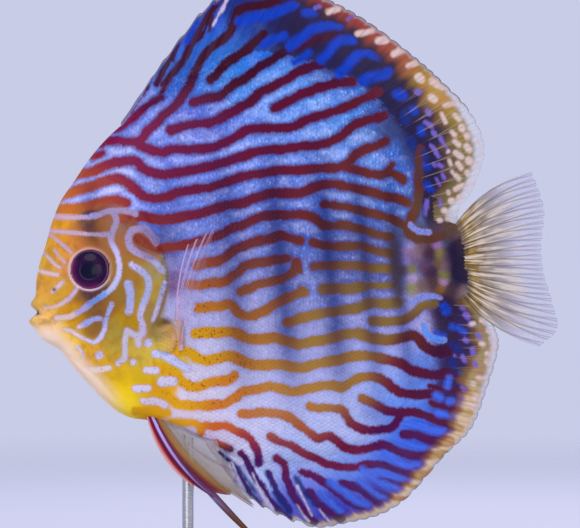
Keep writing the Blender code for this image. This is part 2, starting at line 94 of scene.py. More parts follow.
class Curve:
    """A smooth curve through values at ascending keys, closed on itself where a turn is given."""

    def __init__(self, keys, values, turn=None, tight=False):
        keys = np.array(keys, float)
        values = np.array(values, float).reshape(len(keys), -1)
        if turn:
            keys = np.concatenate((keys[-3:] - turn, keys, keys[:3] + turn))
            values = np.concatenate((values[-3:], values, values[:3]))
        step = np.diff(keys)[:, None]
        rise = np.diff(values, axis=0) / step
        slope = np.concatenate((rise[:1], rise[1:], rise[-1:]))
        slope[1:-1] = (step[1:] * rise[:-1] + step[:-1] * rise[1:]) / (step[1:] + step[:-1])
        if tight:
            most = 2.0 * np.minimum(np.abs(rise[:-1]), np.abs(rise[1:]))
            slope[1:-1] = np.clip(slope[1:-1], -most, most)
            slope[1:-1][rise[:-1] * rise[1:] <= 0.0] = 0.0
        self.keys = keys
        self.values = values
        self.slope = slope

    def __call__(self, at):
        at = np.asarray(at, float)
        i = np.clip(np.searchsorted(self.keys, at) - 1, 0, len(self.keys) - 2)
        step = (self.keys[i + 1] - self.keys[i])[..., None]
        t = (at - self.keys[i])[..., None] / step
        t = np.clip(t, 0.0, 1.0)
        start = (1 + 2 * t) * (1 - t) ** 2 * self.values[i] + t * (1 - t) ** 2 * step * self.slope[i]
        end = t * t * (3 - 2 * t) * self.values[i + 1] - t * t * (1 - t) * step * self.slope[i + 1]
        return start + end


def direction(x, z):
    """The direction of a point of the side view from the middle of the flank."""
    return np.degrees(np.arctan2(z - CENTRE_Z, x - CENTRE_X)) % TURN


OUTLINE_REACH = Curve(
    [direction(x, z) for x, z in OUTLINE],
    [math.hypot(x - CENTRE_X, z - CENTRE_Z) for x, z in OUTLINE],
    TURN,
    tight=True,
)
LEANS = np.arange(-24.0, 25.0, 3.0)
LEAN_SHARES = np.exp(-((LEANS / 13.0) ** 2)) / np.sum(np.exp(-((LEANS / 13.0) ** 2)))
ROUND_ANGLES = np.arange(0.0, TURN, 6.0)
ROUND_REACH = Curve(
    ROUND_ANGLES,
    [float(np.dot(LEAN_SHARES, OUTLINE_REACH((angle + LEANS) % TURN)[:, 0])) for angle in ROUND_ANGLES],
    TURN,
)
SECTION = Curve([row[0] for row in SECTIONS], [row[1:] for row in SECTIONS], TURN)
GILL_X = Curve([-z for _, z in GILL_EDGE], [x for x, _ in GILL_EDGE])
FACE_X = Curve([-z for _, z in FACE_EDGE], [x for x, _ in FACE_EDGE])


def near(value, middle, width):
    """A soft bump of height 1 at the middle."""
    return np.exp(-(((value - middle) / width) ** 2))


def smooth(value, low, high):
    """0 below low, 1 above high and a smooth step between them."""
    t = np.clip((value - low) / (high - low), 0.0, 1.0)
    return t * t * (3.0 - 2.0 * t)


def along(x, z, points):
    """How far each place is from a line through points, and how far along it the nearest point lies."""
    best = np.full(np.shape(x), 1e9)
    place = np.zeros(np.shape(x))
    count = len(points) - 1
    for i in range(count):
        ax, az = points[i]
        bx, bz = points[i + 1]
        length = max((bx - ax) ** 2 + (bz - az) ** 2, 1e-9)
        t = np.clip(((x - ax) * (bx - ax) + (z - az) * (bz - az)) / length, 0.0, 1.0)
        far = np.hypot(x - ax - t * (bx - ax), z - az - t * (bz - az))
        closer = far < best
        best = np.where(closer, far, best)
        place = np.where(closer, (i + t) / count, place)
    return best, place


def behind_gill(x, z):
    """How far ahead of the gill cover's free edge a place is; below zero it is behind it."""
    return GILL_X(-z)[..., 0] - x


def bareness(x, z):
    """1 on the naked skin of the face, 0 where the coat of scales lies."""
    return 1.0 - smooth(x - FACE_X(-z)[..., 0], -0.8, 0.8)


def relief(x, z):
    """What the forms of the head and shoulder add to the half-thickness."""
    shoulder = 0.6 * near(x, -32.0, 17.0) * near(z, 90.0, 22.0)
    mouth_far, mouth_along = along(x, z, (MOUTH_NOTCH, (-71.6, 74.9), MOUTH_CORNER))
    lips = 0.5 * near(np.hypot(x + 72.5, z - 75.2), 0.0, 3.0)
    lips = lips + 0.35 * near(mouth_far, 1.0, 0.55) * smooth(-x, 68.0, 71.0)
    mouth = -0.75 * near(mouth_far, 0.0, 0.36) * (1.0 - 0.85 * mouth_along)
    ahead = behind_gill(x, z)
    height = near(np.maximum(np.maximum(z - GILL_TOP, GILL_FOOT - z), 0.0), 0.0, 5.0)
    cover = GILL_LIFT * near(np.maximum(ahead, 0.0), 0.0, 9.0)
    hollow = -0.2 * near(np.minimum(ahead, 0.0), 0.0, 6.0)
    gill = height * (hollow + (cover - hollow) * smooth(ahead, -0.45, 0.5))
    lobe_far = np.hypot(x + 36.0, (z - 67.6) * 0.75)
    lobe = 0.5 * (1.0 - smooth(lobe_far, 2.0, 3.2)) - 0.25 * near(lobe_far, 3.4, 0.5)
    cheek_far, cheek_along = along(x, z, CHEEK_EDGE)
    cheek = -0.28 * near(cheek_far, 0.0, 0.9) * smooth(cheek_along, 0.0, 0.15)
    jaw_far, jaw_along = along(x, z, ((-70.6, 77.6), (-69.2, 75.6), (-68.2, 72.4), (-69.0, 70.2)))
    jaw = -0.3 * near(jaw_far, 0.0, 0.45)
    throat_far, throat_along = along(x, z, ((-63.0, 62.8), (-55.0, 56.6), (-50.4, 51.0)))
    throat = -0.22 * near(throat_far, 0.0, 0.6)
    eye_far = np.hypot(x - EYE_X, z - EYE_Z)
    socket = -3.2 * (1.0 - smooth(eye_far, EYE_RADIUS - 0.35, EYE_RADIUS + 0.25))
    lid = 0.42 * near(eye_far, EYE_RADIUS + 0.55, 0.5) + 0.25 * near(eye_far, EYE_RADIUS + 2.6, 1.8)
    pit = np.hypot(x - NOSTRIL[0], (z - NOSTRIL[1]) * 0.9)
    nostril = 0.16 * near(pit, 0.9, 0.32) - 0.6 * near(pit, 0.0, 0.5)
    return shoulder + lips + mouth + gill + lobe + cheek + jaw + throat + socket + lid + nostril


def inner_reach(angle, share):
    """How far out this share lies: along a rounded outline, and only near the edge along the true one."""
    rounded = ROUND_REACH(angle % TURN)[..., 0]
    return rounded * share + (OUTLINE_REACH(angle % TURN)[..., 0] - rounded) * share**8


def half_thickness(angle, share):
    """Half the body's thickness at this share of the way from the middle to the outline."""
    section = SECTION(angle % TURN)
    edge = section[..., 0]
    power = section[..., 1]
    fall = section[..., 2]
    return edge + (MIDDLE_HALF - edge) * np.clip(1.0 - share**power, 0.0, 1.0) ** fall


def share_at(x, z):
    """How far out a place of the side view is, from 0 in the middle of the flank to 1 at the outline."""
    angle = direction(x, z)
    reach = np.hypot(x - CENTRE_X, z - CENTRE_Z)
    share = np.full(np.shape(reach), 0.5)
    for _ in range(8):
        share = np.minimum(1.0, share * reach / inner_reach(angle, share))
    return share


def surface_half(x, z):
    """Half the body's thickness at a place of the side view."""
    return half_thickness(direction(x, z), share_at(x, z)) + relief(x, z)


def column_angles(count):
    """The directions of the skin's columns, close together round the head."""
    fine = np.linspace(0.0, TURN, 1441)
    weight = 1.0 + 1.9 * np.exp(-(((fine - 188.0) / 34.0) ** 2)) + 2.5 * np.exp(-(((fine - 194.0) / 3.5) ** 2))
    total = np.concatenate(((0.0,), np.cumsum((weight[1:] + weight[:-1]) / 2)))
    return np.interp(np.arange(count) * total[-1] / count, total, fine)


def made(bm, name, finish, replaced=(), scale=MM):
    """Writes a mesh given in millimetres as a finished piece that rides on the model."""
    bmesh.ops.scale(bm, vec=(scale, scale, scale), verts=bm.verts)
    mesh = bpy.data.meshes.new(name)
    bm.to_mesh(mesh)
    bm.free()
    piece = bpy.data.objects.new(name, mesh)
    bpy.context.collection.objects.link(piece)
    mesh.materials.append(finish)
    mesh.shade_smooth()
    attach(piece, "root")
    if replaced:
        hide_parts(*replaced)
    return piece


def places(mesh):
    """The vertices of a mesh, in millimetres."""
    found = np.zeros(len(mesh.vertices) * 3, np.float32)
    mesh.vertices.foreach_get("co", found)
    return found.reshape(-1, 3).astype(float) / MM


# The markings are painted on: signal stripes over a ground that runs from turquoise to pale violet and to
# gold on the face and belly. Each stroke is half its width and the points it runs through, in millimetres.
DARK = (
    (1.19, ((-51.2, 127.1), (-48.9, 128.0), (-46.3, 129.7), (-44.1, 131.4), (-41.8, 133.7),
        (-39.8, 135.1), (-37.5, 136.2))),
    (1.33, ((-55.1, 123.2), (-52.6, 124.0), (-49.2, 124.0), (-45.5, 123.5), (-43.2, 124.0),
        (-41.5, 126.3), (-39.5, 128.0), (-37.0, 130.8), (-34.7, 132.8), (-32.4, 135.1), (-30.5, 137.9),
        (-29.0, 140.5), (-27.6, 143.9), (-26.5, 146.4), (-24.8, 148.7), (-22.8, 150.7), (-20.0, 152.7),
        (-18.0, 154.6), (-16.8, 157.8), (-15.7, 160.6), (-13.2, 162.0), (-8.9, 162.6), (-4.4, 163.4))),
    (1.42, ((-44.6, 123.7), (-42.4, 122.3), (-40.4, 121.2), (-37.8, 120.6), (-33.6, 121.5),
        (-27.9, 121.5), (-22.8, 122.0), (-19.1, 123.5), (-16.0, 125.2), (-12.9, 126.9), (-8.9, 127.4),
        (-3.8, 127.4), (0.2, 128.0), (3.6, 129.7), (7.5, 131.1), (11.2, 132.2), (14.6, 133.4),
        (18.0, 135.1), (21.2, 136.5), (24.0, 137.9))),
    (1.42, ((-34.7, 126.9), (-32.2, 127.7), (-27.9, 128.6), (-23.6, 129.1), (-20.2, 130.3),
        (-17.4, 132.0), (-14.3, 133.7), (-11.7, 135.1), (-10.0, 137.1), (-7.8, 138.5), (-4.7, 139.9),
        (-1.5, 141.6), (1.0, 143.3), (4.1, 144.7), (7.5, 145.6))),
    (1.39, ((-28.2, 134.8), (-24.8, 135.9), (-21.1, 136.5), (-18.8, 138.2), (-16.3, 140.2),
        (-13.2, 141.9), (-10.6, 144.2), (-7.8, 145.9), (-4.9, 147.8), (-1.8, 149.8), (1.3, 151.0),
        (5.0, 152.4), (9.0, 153.5), (13.2, 154.4))),
    (1.36, ((-23.4, 141.3), (-21.9, 142.7), (-20.0, 144.7), (-18.0, 146.7), (-15.1, 148.4),
        (-12.9, 150.1), (-10.6, 152.4), (-8.6, 154.1))),
    (1.47, ((-5.2, 133.1), (-2.9, 134.5), (-0.1, 135.9), (2.7, 137.3), (6.1, 138.5), (9.8, 139.6),
        (13.2, 140.7), (16.6, 140.7))),
    (1.02, ((-56.8, 119.5), (-54.0, 120.3))),
    (1.42, ((-63.3, 113.5), (-60.5, 114.7), (-57.1, 115.2), (-54.0, 116.4), (-51.4, 117.5),
        (-47.7, 118.1), (-44.6, 118.1), (-42.9, 116.6), (-41.2, 115.2), (-37.8, 114.4), (-33.6, 114.7),
        (-29.3, 115.5), (-25.1, 116.4), (-21.4, 117.2), (-18.0, 118.3), (-14.3, 119.5), (-10.6, 120.6),
        (-6.6, 121.2), (-2.4, 121.5), (1.9, 122.3), (6.1, 122.6), (9.8, 123.5), (12.9, 124.9),
        (14.9, 126.6), (16.9, 128.3), (19.7, 129.4), (22.9, 130.3), (25.7, 131.1))),
    (1.39, ((-67.3, 107.6), (-64.5, 109.0), (-60.5, 110.1), (-56.3, 111.3), (-52.6, 112.7),
        (-49.2, 113.0), (-46.3, 111.5), (-44.1, 109.6), (-42.1, 108.1), (-39.0, 107.6), (-35.6, 108.1),
        (-32.2, 109.3), (-27.9, 110.1), (-23.6, 110.7), (-20.2, 111.8), (-16.6, 113.0), (-12.3, 114.1),
        (-8.1, 114.9), (-3.8, 115.5), (1.9, 115.5), (7.5, 116.1), (12.6, 116.4), (15.2, 117.5),
        (17.2, 119.5), (19.7, 121.2), (22.9, 122.3), (26.0, 123.7))),
    (1.3, ((13.2, 116.6), (17.2, 115.8), (21.2, 114.7), (24.8, 114.4), (27.7, 114.9), (29.7, 113.8),
        (31.1, 112.7))),
    (0.99, ((25.7, 114.7), (26.8, 115.8), (28.0, 117.2))),
    (1.42, ((-69.6, 104.2), (-65.6, 104.7), (-60.5, 105.0), (-56.3, 105.9), (-52.6, 107.0),
        (-49.7, 107.3), (-47.2, 106.4))),
    (1.47, ((-49.2, 102.2), (-45.5, 102.2), (-42.1, 102.5), (-37.8, 101.6), (-33.6, 101.9),
        (-29.3, 102.8), (-25.1, 103.6), (-20.8, 105.0), (-16.6, 105.9), (-13.2, 106.7), (-9.8, 108.1),
        (-6.1, 109.0), (-1.8, 109.0), (2.4, 109.3), (5.8, 110.7), (9.0, 111.5), (12.4, 111.5),
        (16.3, 110.7), (20.6, 109.8), (25.1, 108.4), (29.4, 107.6), (32.5, 106.4))),
    (1.42, ((-43.8, 96.2), (-41.2, 94.8), (-37.8, 93.4), (-34.1, 94.0), (-30.5, 94.5), (-26.5, 95.4),
        (-22.8, 96.5), (-20.0, 97.6), (-17.1, 99.4), (-14.3, 100.2), (-11.7, 101.3), (-8.9, 102.5),
        (-5.2, 103.0), (-1.0, 102.8), (3.0, 103.0), (6.1, 101.9), (8.1, 99.9))),
    (1.5, ((-27.3, 88.6), (-24.8, 89.4), (-21.9, 89.7), (-19.7, 90.6), (-17.7, 92.3), (-15.4, 93.7),
        (-12.3, 94.8), (-9.5, 95.7), (-6.4, 96.2), (-3.5, 97.1), (-0.7, 96.2), (1.9, 95.7))),
    (1.42, ((-29.3, 83.2), (-26.2, 83.2), (-22.8, 83.8), (-20.0, 84.0), (-17.4, 85.5), (-15.1, 87.2),
        (-13.2, 88.6), (-10.6, 89.4), (-7.8, 89.7), (-4.7, 90.3), (-2.1, 90.6))),
    (1.42, ((-14.9, 81.2), (-12.6, 82.1), (-10.3, 83.2), (-7.5, 84.0), (-4.4, 84.6), (-1.8, 85.7),
        (0.2, 87.4), (1.0, 89.7))),
    (1.5, ((-26.5, 76.7), (-23.6, 77.0), (-20.8, 77.2), (-18.3, 77.8), (-16.6, 76.7), (-14.9, 75.0),
        (-12.0, 74.4), (-8.9, 75.5), (-6.4, 77.0), (-3.5, 78.7), (-0.4, 80.1), (2.7, 81.2))),
    (1.62, ((-27.3, 69.6), (-24.8, 69.9), (-21.7, 69.9), (-18.3, 70.1), (-15.4, 69.3), (-12.6, 68.2),
        (-8.9, 67.9), (-5.2, 68.2), (-1.8, 67.3), (1.9, 66.5), (5.6, 67.3), (9.8, 67.9), (13.8, 69.0),
        (18.0, 69.6), (21.7, 68.4), (25.7, 67.6), (29.7, 67.9), (32.8, 69.0), (34.8, 68.7), (36.5, 66.7),
        (38.7, 64.8), (41.6, 64.2), (44.4, 64.8))),
    (1.53, ((-1.5, 72.7), (1.9, 73.8), (5.6, 74.7), (9.8, 75.5), (14.1, 76.1), (18.3, 76.7),
        (22.0, 78.1), (26.0, 77.8), (29.4, 78.1))),
    (1.42, ((22.3, 73.0), (26.0, 72.7), (29.7, 73.0), (32.8, 74.1), (34.8, 75.8), (36.7, 77.2),
        (39.9, 77.8))),
    (1.59, ((-32.2, 64.2), (-29.6, 64.2), (-27.3, 62.8), (-24.5, 61.9), (-21.4, 62.5), (-18.0, 63.3),
        (-15.4, 62.2), (-12.6, 61.1), (-8.9, 60.5), (-4.9, 60.8), (-1.0, 60.2), (2.7, 59.9), (7.0, 61.1),
        (11.8, 61.9), (16.0, 62.8), (20.3, 63.3), (24.6, 62.5), (28.2, 61.6), (30.8, 60.8), (33.3, 59.1),
        (36.7, 58.0), (40.4, 57.7), (43.6, 58.2))),
    (1.5, ((-38.4, 60.2), (-35.0, 58.8), (-32.4, 56.8), (-30.2, 55.1), (-27.3, 54.5), (-24.5, 55.4),
        (-21.4, 56.0), (-18.5, 56.3), (-16.8, 57.4))),
    (1.47, ((-40.1, 54.0), (-37.3, 52.6), (-34.7, 51.1), (-32.7, 49.4), (-29.9, 49.2), (-25.9, 49.2),
        (-21.9, 49.2), (-19.1, 49.7), (-16.6, 51.4), (-14.3, 53.1), (-10.9, 53.7), (-7.2, 54.5),
        (-3.8, 54.0), (-0.1, 53.1), (4.7, 54.0), (9.8, 54.8), (13.8, 54.3), (16.6, 56.0), (19.7, 57.1),
        (23.1, 57.1), (26.3, 55.7), (28.5, 53.7), (31.6, 52.3), (35.3, 52.0), (39.0, 52.3))),
    (1.36, ((-14.6, 46.9), (-11.5, 46.9), (-7.8, 47.2), (-4.1, 46.6), (-0.7, 45.5), (1.9, 43.5),
        (4.4, 41.5), (7.0, 39.8), (9.8, 40.4), (12.4, 39.0), (14.9, 37.0), (18.3, 36.4), (22.0, 37.0),
        (26.0, 37.8), (28.8, 36.4), (32.2, 35.3), (35.6, 34.7), (38.7, 35.0), (43.0, 35.0))),
    (1.3, ((4.7, 48.9), (8.1, 48.3), (11.5, 48.3), (14.1, 47.7), (15.5, 45.2), (17.5, 43.2),
        (20.6, 42.1), (24.3, 42.1), (27.7, 42.9), (29.7, 44.9), (30.8, 46.9), (33.6, 47.2), (37.0, 46.3),
        (40.4, 44.9), (43.6, 43.8), (47.0, 42.6))),
    (1.36, ((19.2, 51.1), (21.7, 50.0), (24.8, 48.3), (28.0, 47.2), (30.8, 47.2))),
    (1.47, ((31.6, 40.9), (34.2, 40.9), (37.3, 39.8), (40.7, 38.7), (44.4, 39.0))),
    (1.28, ((-44.6, 47.5), (-41.2, 47.5), (-38.4, 47.2), (-35.6, 46.9))),
    (1.13, ((-35.0, 44.6), (-31.6, 44.3), (-28.5, 44.3), (-25.9, 43.2), (-26.2, 41.2))),
    (1.22, ((-25.6, 43.5), (-22.2, 43.2), (-18.5, 43.2), (-16.3, 42.1), (-14.0, 40.9), (-12.0, 39.2),
        (-10.6, 37.0), (-9.8, 34.7), (-9.8, 32.7))),
    (1.05, ((-21.7, 38.4), (-19.4, 37.5), (-17.7, 36.7))),
    (1.0, ((-14.9, 35.6), (-13.4, 33.9), (-12.6, 31.9), (-11.2, 29.0), (-8.9, 26.2))),
    (1.19, ((-6.6, 40.4), (-4.4, 39.0), (-1.0, 37.8), (2.4, 35.8), (6.1, 34.1), (9.8, 32.4),
        (13.8, 31.6), (18.0, 31.6), (21.7, 32.4), (25.4, 32.1), (28.8, 31.0), (32.8, 29.6), (35.9, 29.0),
        (39.3, 30.2))),
    (1.19, ((-4.7, 33.9), (-2.7, 32.4), (-2.1, 29.0), (-1.0, 25.6), (0.7, 22.5), (3.0, 19.1),
        (5.8, 16.0))),
    (1.13, ((2.4, 30.2), (5.3, 29.0), (8.4, 27.6), (10.9, 25.6), (13.5, 23.4), (16.3, 21.4),
        (19.7, 20.0))),
    (1.47, ((4.4, 24.2), (7.0, 21.9), (10.1, 19.1), (13.5, 17.1))),
    (1.3, ((13.8, 26.8), (17.8, 25.9), (21.2, 23.9), (24.0, 21.9))),
    (0.85, ((-6.9, 29.9), (-5.5, 26.5), (-3.5, 22.8), (-1.0, 19.4))),
    (1.42, ((36.2, 121.5), (35.6, 115.8), (35.6, 110.1), (35.0, 106.2), (33.9, 102.8), (32.2, 99.4),
        (33.9, 96.8), (38.2, 96.5), (41.9, 97.1))),
    (1.08, ((-37.0, 139.9), (-34.4, 143.0), (-31.9, 145.9), (-29.9, 149.0), (-28.5, 152.1),
        (-26.8, 155.2), (-24.8, 158.3), (-22.8, 161.4), (-21.1, 164.0))),
    (0.91, ((-48.6, 129.4), (-45.8, 133.4), (-43.5, 137.3), (-41.2, 142.2), (-38.7, 146.7),
        (-36.1, 150.1), (-33.6, 153.2), (-31.6, 155.8), (-29.0, 159.2), (-26.8, 161.7), (-23.9, 163.7))),
    (0.96, ((-38.7, 140.2), (-37.0, 143.6), (-35.6, 146.7), (-34.4, 149.8), (-32.7, 152.9),
        (-30.7, 156.1))),
    (0.68, ((-23.9, 155.2), (-23.4, 158.0), (-22.2, 161.4), (-21.1, 164.0))),
    (0.96, ((39.0, 49.7), (43.0, 48.6), (46.7, 47.7), (50.1, 46.9))),
    (0.74, ((24.0, 27.9), (28.8, 27.3), (33.1, 26.2), (35.9, 25.6))),
    (0.68, ((20.3, 25.9), (24.6, 24.2), (28.8, 22.8), (32.5, 22.5))),
    (0.62, ((28.0, 47.2), (30.2, 44.9))),
    (0.68, ((38.7, 54.5), (43.0, 53.7), (47.2, 53.1), (50.1, 52.6))),
    (0.62, ((45.8, 56.8), (48.9, 56.0))),
    (0.74, ((-42.6, 137.1), (-40.7, 141.3), (-38.7, 145.3), (-36.7, 149.0), (-34.4, 151.5),
        (-32.4, 154.1), (-30.5, 156.6), (-28.8, 159.2), (-26.5, 161.2), (-24.2, 162.9))),
    (0.85, ((-37.3, 137.9), (-35.6, 140.7), (-33.6, 143.6), (-31.9, 145.9), (-30.5, 148.7),
        (-29.9, 150.4))),
    (0.68, ((-34.4, 147.0), (-33.3, 150.4), (-31.9, 153.2), (-30.7, 155.2))),
    (0.74, ((-27.9, 152.1), (-26.2, 153.8), (-24.8, 156.1), (-23.9, 158.3), (-23.1, 160.6))),
    (0.4, ((-22.5, 37.0), (-21.1, 34.1), (-20.2, 31.3))),
    (0.7, ((-21.1, 35.8), (-19.4, 33.6), (-17.1, 32.1), (-15.1, 29.3), (-13.4, 26.2), (-11.7, 23.4),
        (-9.5, 20.8), (-7.5, 19.4))),
    (0.5, ((-20.2, 33.0), (-19.1, 30.2), (-18.5, 27.9))),
    (0.8, ((-9.5, 26.8), (-6.6, 22.5), (-3.8, 19.1), (-1.0, 16.8))),
    (1.28, ((8.7, 105.9), (13.8, 105.3), (18.6, 104.2), (24.8, 102.8), (28.8, 101.3), (32.2, 99.6))),
    (1.33, ((8.4, 100.2), (10.7, 99.9), (14.9, 99.9), (18.6, 99.1), (23.1, 97.6), (27.1, 96.8))),
    (1.33, ((5.3, 95.1), (8.7, 94.2), (12.6, 94.0), (16.6, 94.2), (19.7, 94.0), (23.1, 92.8),
        (27.1, 92.0))),
    (1.39, ((5.8, 88.3), (9.8, 88.6), (14.6, 88.6), (18.6, 88.6), (22.3, 88.0), (27.1, 87.7))),
    (1.7, ((8.4, 82.1), (12.6, 82.3), (16.6, 82.3), (19.2, 82.6))),
    (1.08, ((18.3, 82.6), (22.3, 82.9), (24.8, 82.9), (27.7, 83.2))),
    (0.74, ((1.9, 82.3), (3.0, 80.4))), (0.62, ((1.6, 89.7), (1.9, 86.9))),
)
PALE = (
    (0.74, ((-70.2, 102.8), (-66.2, 102.5), (-61.9, 102.2), (-57.7, 102.5), (-54.8, 103.0),
        (-52.6, 103.9), (-49.7, 104.2), (-46.6, 103.9), (-44.6, 103.3))),
    (0.79, ((-50.6, 103.6), (-50.0, 101.1), (-50.6, 99.1), (-51.4, 97.1), (-51.2, 95.1), (-50.0, 92.8),
        (-49.2, 89.7), (-49.2, 86.3), (-50.3, 83.5), (-52.0, 81.5), (-54.0, 80.1), (-56.3, 78.7),
        (-58.5, 77.0), (-60.8, 75.5), (-63.6, 74.1), (-67.0, 73.8))),
    (0.57, ((-69.6, 98.5), (-66.2, 98.2), (-61.9, 97.9), (-57.7, 97.6), (-54.0, 97.4), (-51.7, 97.6))),
    (0.45, ((-69.3, 97.4), (-66.7, 95.7), (-64.5, 94.0), (-62.8, 92.3))),
    (0.4, ((-71.0, 92.5), (-69.0, 90.6), (-67.0, 88.6), (-65.9, 88.0))),
    (0.31, ((-67.6, 93.1), (-65.9, 91.1), (-64.5, 89.4))),
    (0.6, ((-72.1, 87.2), (-69.9, 86.6), (-66.7, 86.0))),
    (0.68, ((-68.2, 81.2), (-67.0, 82.3), (-65.3, 83.8))),
    (0.57, ((-70.4, 76.7), (-67.6, 77.0), (-65.6, 77.8), (-63.3, 79.5), (-61.6, 81.5), (-60.8, 82.9))),
    (0.74, ((-60.5, 71.3), (-58.5, 72.4), (-56.5, 73.5), (-54.8, 73.8))),
    (0.6, ((-65.0, 70.7), (-62.8, 70.1), (-60.5, 68.7), (-58.2, 67.6), (-56.3, 67.0), (-54.6, 68.2),
        (-53.4, 70.4), (-52.9, 73.3), (-52.0, 75.8), (-51.2, 77.8))),
    (0.4, ((-61.4, 66.2), (-59.9, 64.2), (-59.4, 62.5))), (1.25, ((-54.8, 63.3),)),
    (0.91, ((-58.8, 59.1), (-56.3, 59.1), (-53.7, 59.4), (-52.0, 59.7))),
    (0.88, ((-38.7, 95.1), (-40.1, 97.1), (-42.1, 98.8), (-44.1, 99.1), (-46.0, 97.9), (-46.6, 95.9),
        (-45.8, 93.7), (-43.8, 92.3), (-41.2, 91.1), (-39.0, 89.7), (-37.0, 87.4))),
    (0.94, ((-45.5, 88.9), (-43.2, 87.4), (-41.2, 85.5), (-40.7, 82.9), (-41.2, 80.6), (-42.1, 78.4),
        (-42.9, 76.1), (-43.2, 74.1), (-42.6, 71.8), (-42.6, 69.6), (-43.8, 68.2), (-43.8, 66.2))),
    (0.82, ((-46.9, 70.4), (-47.5, 67.6), (-47.5, 64.8), (-47.7, 62.5), (-49.5, 61.1))),
    (0.82, ((-46.9, 70.4), (-45.2, 69.3), (-43.5, 68.7))),
    (1.11, ((-46.6, 83.5), (-46.0, 80.9), (-46.0, 78.1), (-46.3, 75.8))), (1.3, ((-40.9, 66.7),)),
    (0.91, ((-45.2, 61.4),)), (1.02, ((-41.5, 59.1), (-38.7, 59.1))),
    (1.08, ((-44.6, 54.0), (-41.2, 54.0))),
    (0.65, ((-36.1, 83.8), (-37.0, 81.2), (-37.8, 78.4), (-38.7, 75.5), (-39.5, 73.3))),
    (1.13, ((-39.0, 63.9), (-36.1, 63.1), (-33.3, 61.6), (-29.9, 59.7))),
    (1.42, ((-37.0, 56.0), (-34.1, 56.0))), (1.02, ((-42.4, 50.3), (-39.0, 50.3), (-36.1, 49.2))),
    (0.26, ((-22.8, 156.6), (-21.7, 158.9), (-20.5, 161.2))),
    (0.48, ((-20.5, 160.6), (-19.4, 162.9), (-18.5, 164.9))),
    (0.26, ((-22.8, 37.3), (-21.4, 34.4), (-20.2, 30.7))),
    (0.26, ((-17.4, 33.0), (-16.0, 29.3), (-14.3, 25.6))),
    (0.31, ((-10.3, 26.2), (-8.1, 22.2), (-5.8, 19.1))),
    (0.23, ((1.0, 20.8), (2.7, 18.0), (4.4, 16.0))),
    (0.82, ((33.1, 100.2), (34.2, 99.1), (35.9, 98.2), (38.4, 98.2))),
    (0.77, ((33.3, 77.8), (35.0, 79.5), (38.2, 80.1), (41.6, 79.5))),
    (0.23, ((-8.9, 24.5), (-7.2, 21.9), (-5.8, 19.7))),
    (0.2, ((-18.3, 32.7), (-16.8, 29.6), (-14.9, 26.2))),
    (0.23, ((-11.5, 29.6), (-9.8, 25.9), (-7.8, 22.5))),
    (0.23, ((1.0, 26.2), (3.0, 22.2), (5.3, 17.7))), (0.2, ((7.3, 19.4), (9.2, 17.1), (11.2, 15.4))),
    (0.17, ((-22.8, 36.7), (-21.7, 33.6), (-20.0, 29.6))),
    (0.88, ((36.7, 71.8), (37.9, 69.3), (40.4, 67.9), (42.7, 67.6))),
)
BLUE = (
    (1.36, ((-15.1, 157.8), (-11.2, 158.9), (-6.6, 159.7), (-2.7, 161.4), (0.2, 162.9))),
    (1.08, ((-8.3, 151.0), (-6.1, 152.7), (-2.7, 153.8))),
    (1.25, ((-1.0, 150.7), (2.2, 153.2), (5.0, 155.5), (8.4, 156.6), (11.8, 156.9), (14.6, 156.6))),
    (0.91, ((0.2, 146.4), (2.7, 147.6), (4.4, 149.0))),
    (1.25, ((8.1, 147.0), (10.1, 149.3), (11.8, 151.5), (14.6, 152.7), (17.2, 152.7))),
    (1.08, ((5.8, 160.6), (3.3, 160.3))),
    (1.36, ((13.2, 143.3), (15.8, 145.6), (17.5, 147.8), (20.0, 149.0), (22.9, 148.7), (25.4, 147.8))),
    (1.39, ((20.0, 141.0), (22.3, 142.2), (25.1, 142.7), (27.7, 143.6), (29.7, 143.9))),
    (1.45, ((29.7, 137.3), (30.8, 137.1))), (0.96, ((33.9, 132.8), (34.2, 132.5))),
    (1.02, ((36.2, 127.1), (36.2, 126.6))), (0.77, ((37.6, 116.9), (38.2, 116.6))),
    (0.77, ((37.6, 111.8), (39.0, 110.1))), (1.05, ((42.4, 77.0), (43.3, 75.8))),
    (0.71, ((44.7, 71.3), (46.7, 71.0), (48.4, 69.9))), (0.65, ((47.8, 58.0), (48.7, 57.1))),
    (0.79, ((44.1, 56.8), (43.6, 54.5))), (0.91, ((40.4, 51.7), (41.6, 51.1))),
    (0.71, ((43.8, 50.3), (45.8, 50.0), (47.5, 49.4))),
    (0.85, ((41.0, 46.9), (43.3, 46.3), (45.8, 45.2))),
    (0.99, ((32.2, 43.5), (35.3, 43.2), (38.7, 42.1), (42.7, 41.5))),
    (0.6, ((30.2, 38.1), (33.6, 37.3), (37.0, 37.0), (39.9, 36.1))),
    (0.79, ((25.7, 35.3), (28.5, 33.3), (31.9, 32.1), (35.9, 32.1))),
    (0.54, ((24.0, 30.4), (27.4, 29.3), (30.5, 28.2), (33.1, 27.3))),
    (0.6, ((19.5, 31.0), (22.9, 28.2), (26.3, 26.5), (29.7, 25.1))),
    (0.54, ((18.3, 27.9), (20.9, 25.9), (23.4, 23.9), (26.3, 22.5))),
    (0.85, ((10.4, 27.3), (13.8, 24.8), (17.2, 22.2), (21.2, 20.5))),
    (0.79, ((-30.2, 152.4), (-28.8, 155.5), (-27.6, 157.8), (-26.8, 159.7))),
    (0.74, ((7.5, 23.9), (10.7, 21.1), (13.5, 18.8))), (0.85, ((40.4, 69.3), (42.4, 68.7))),
)
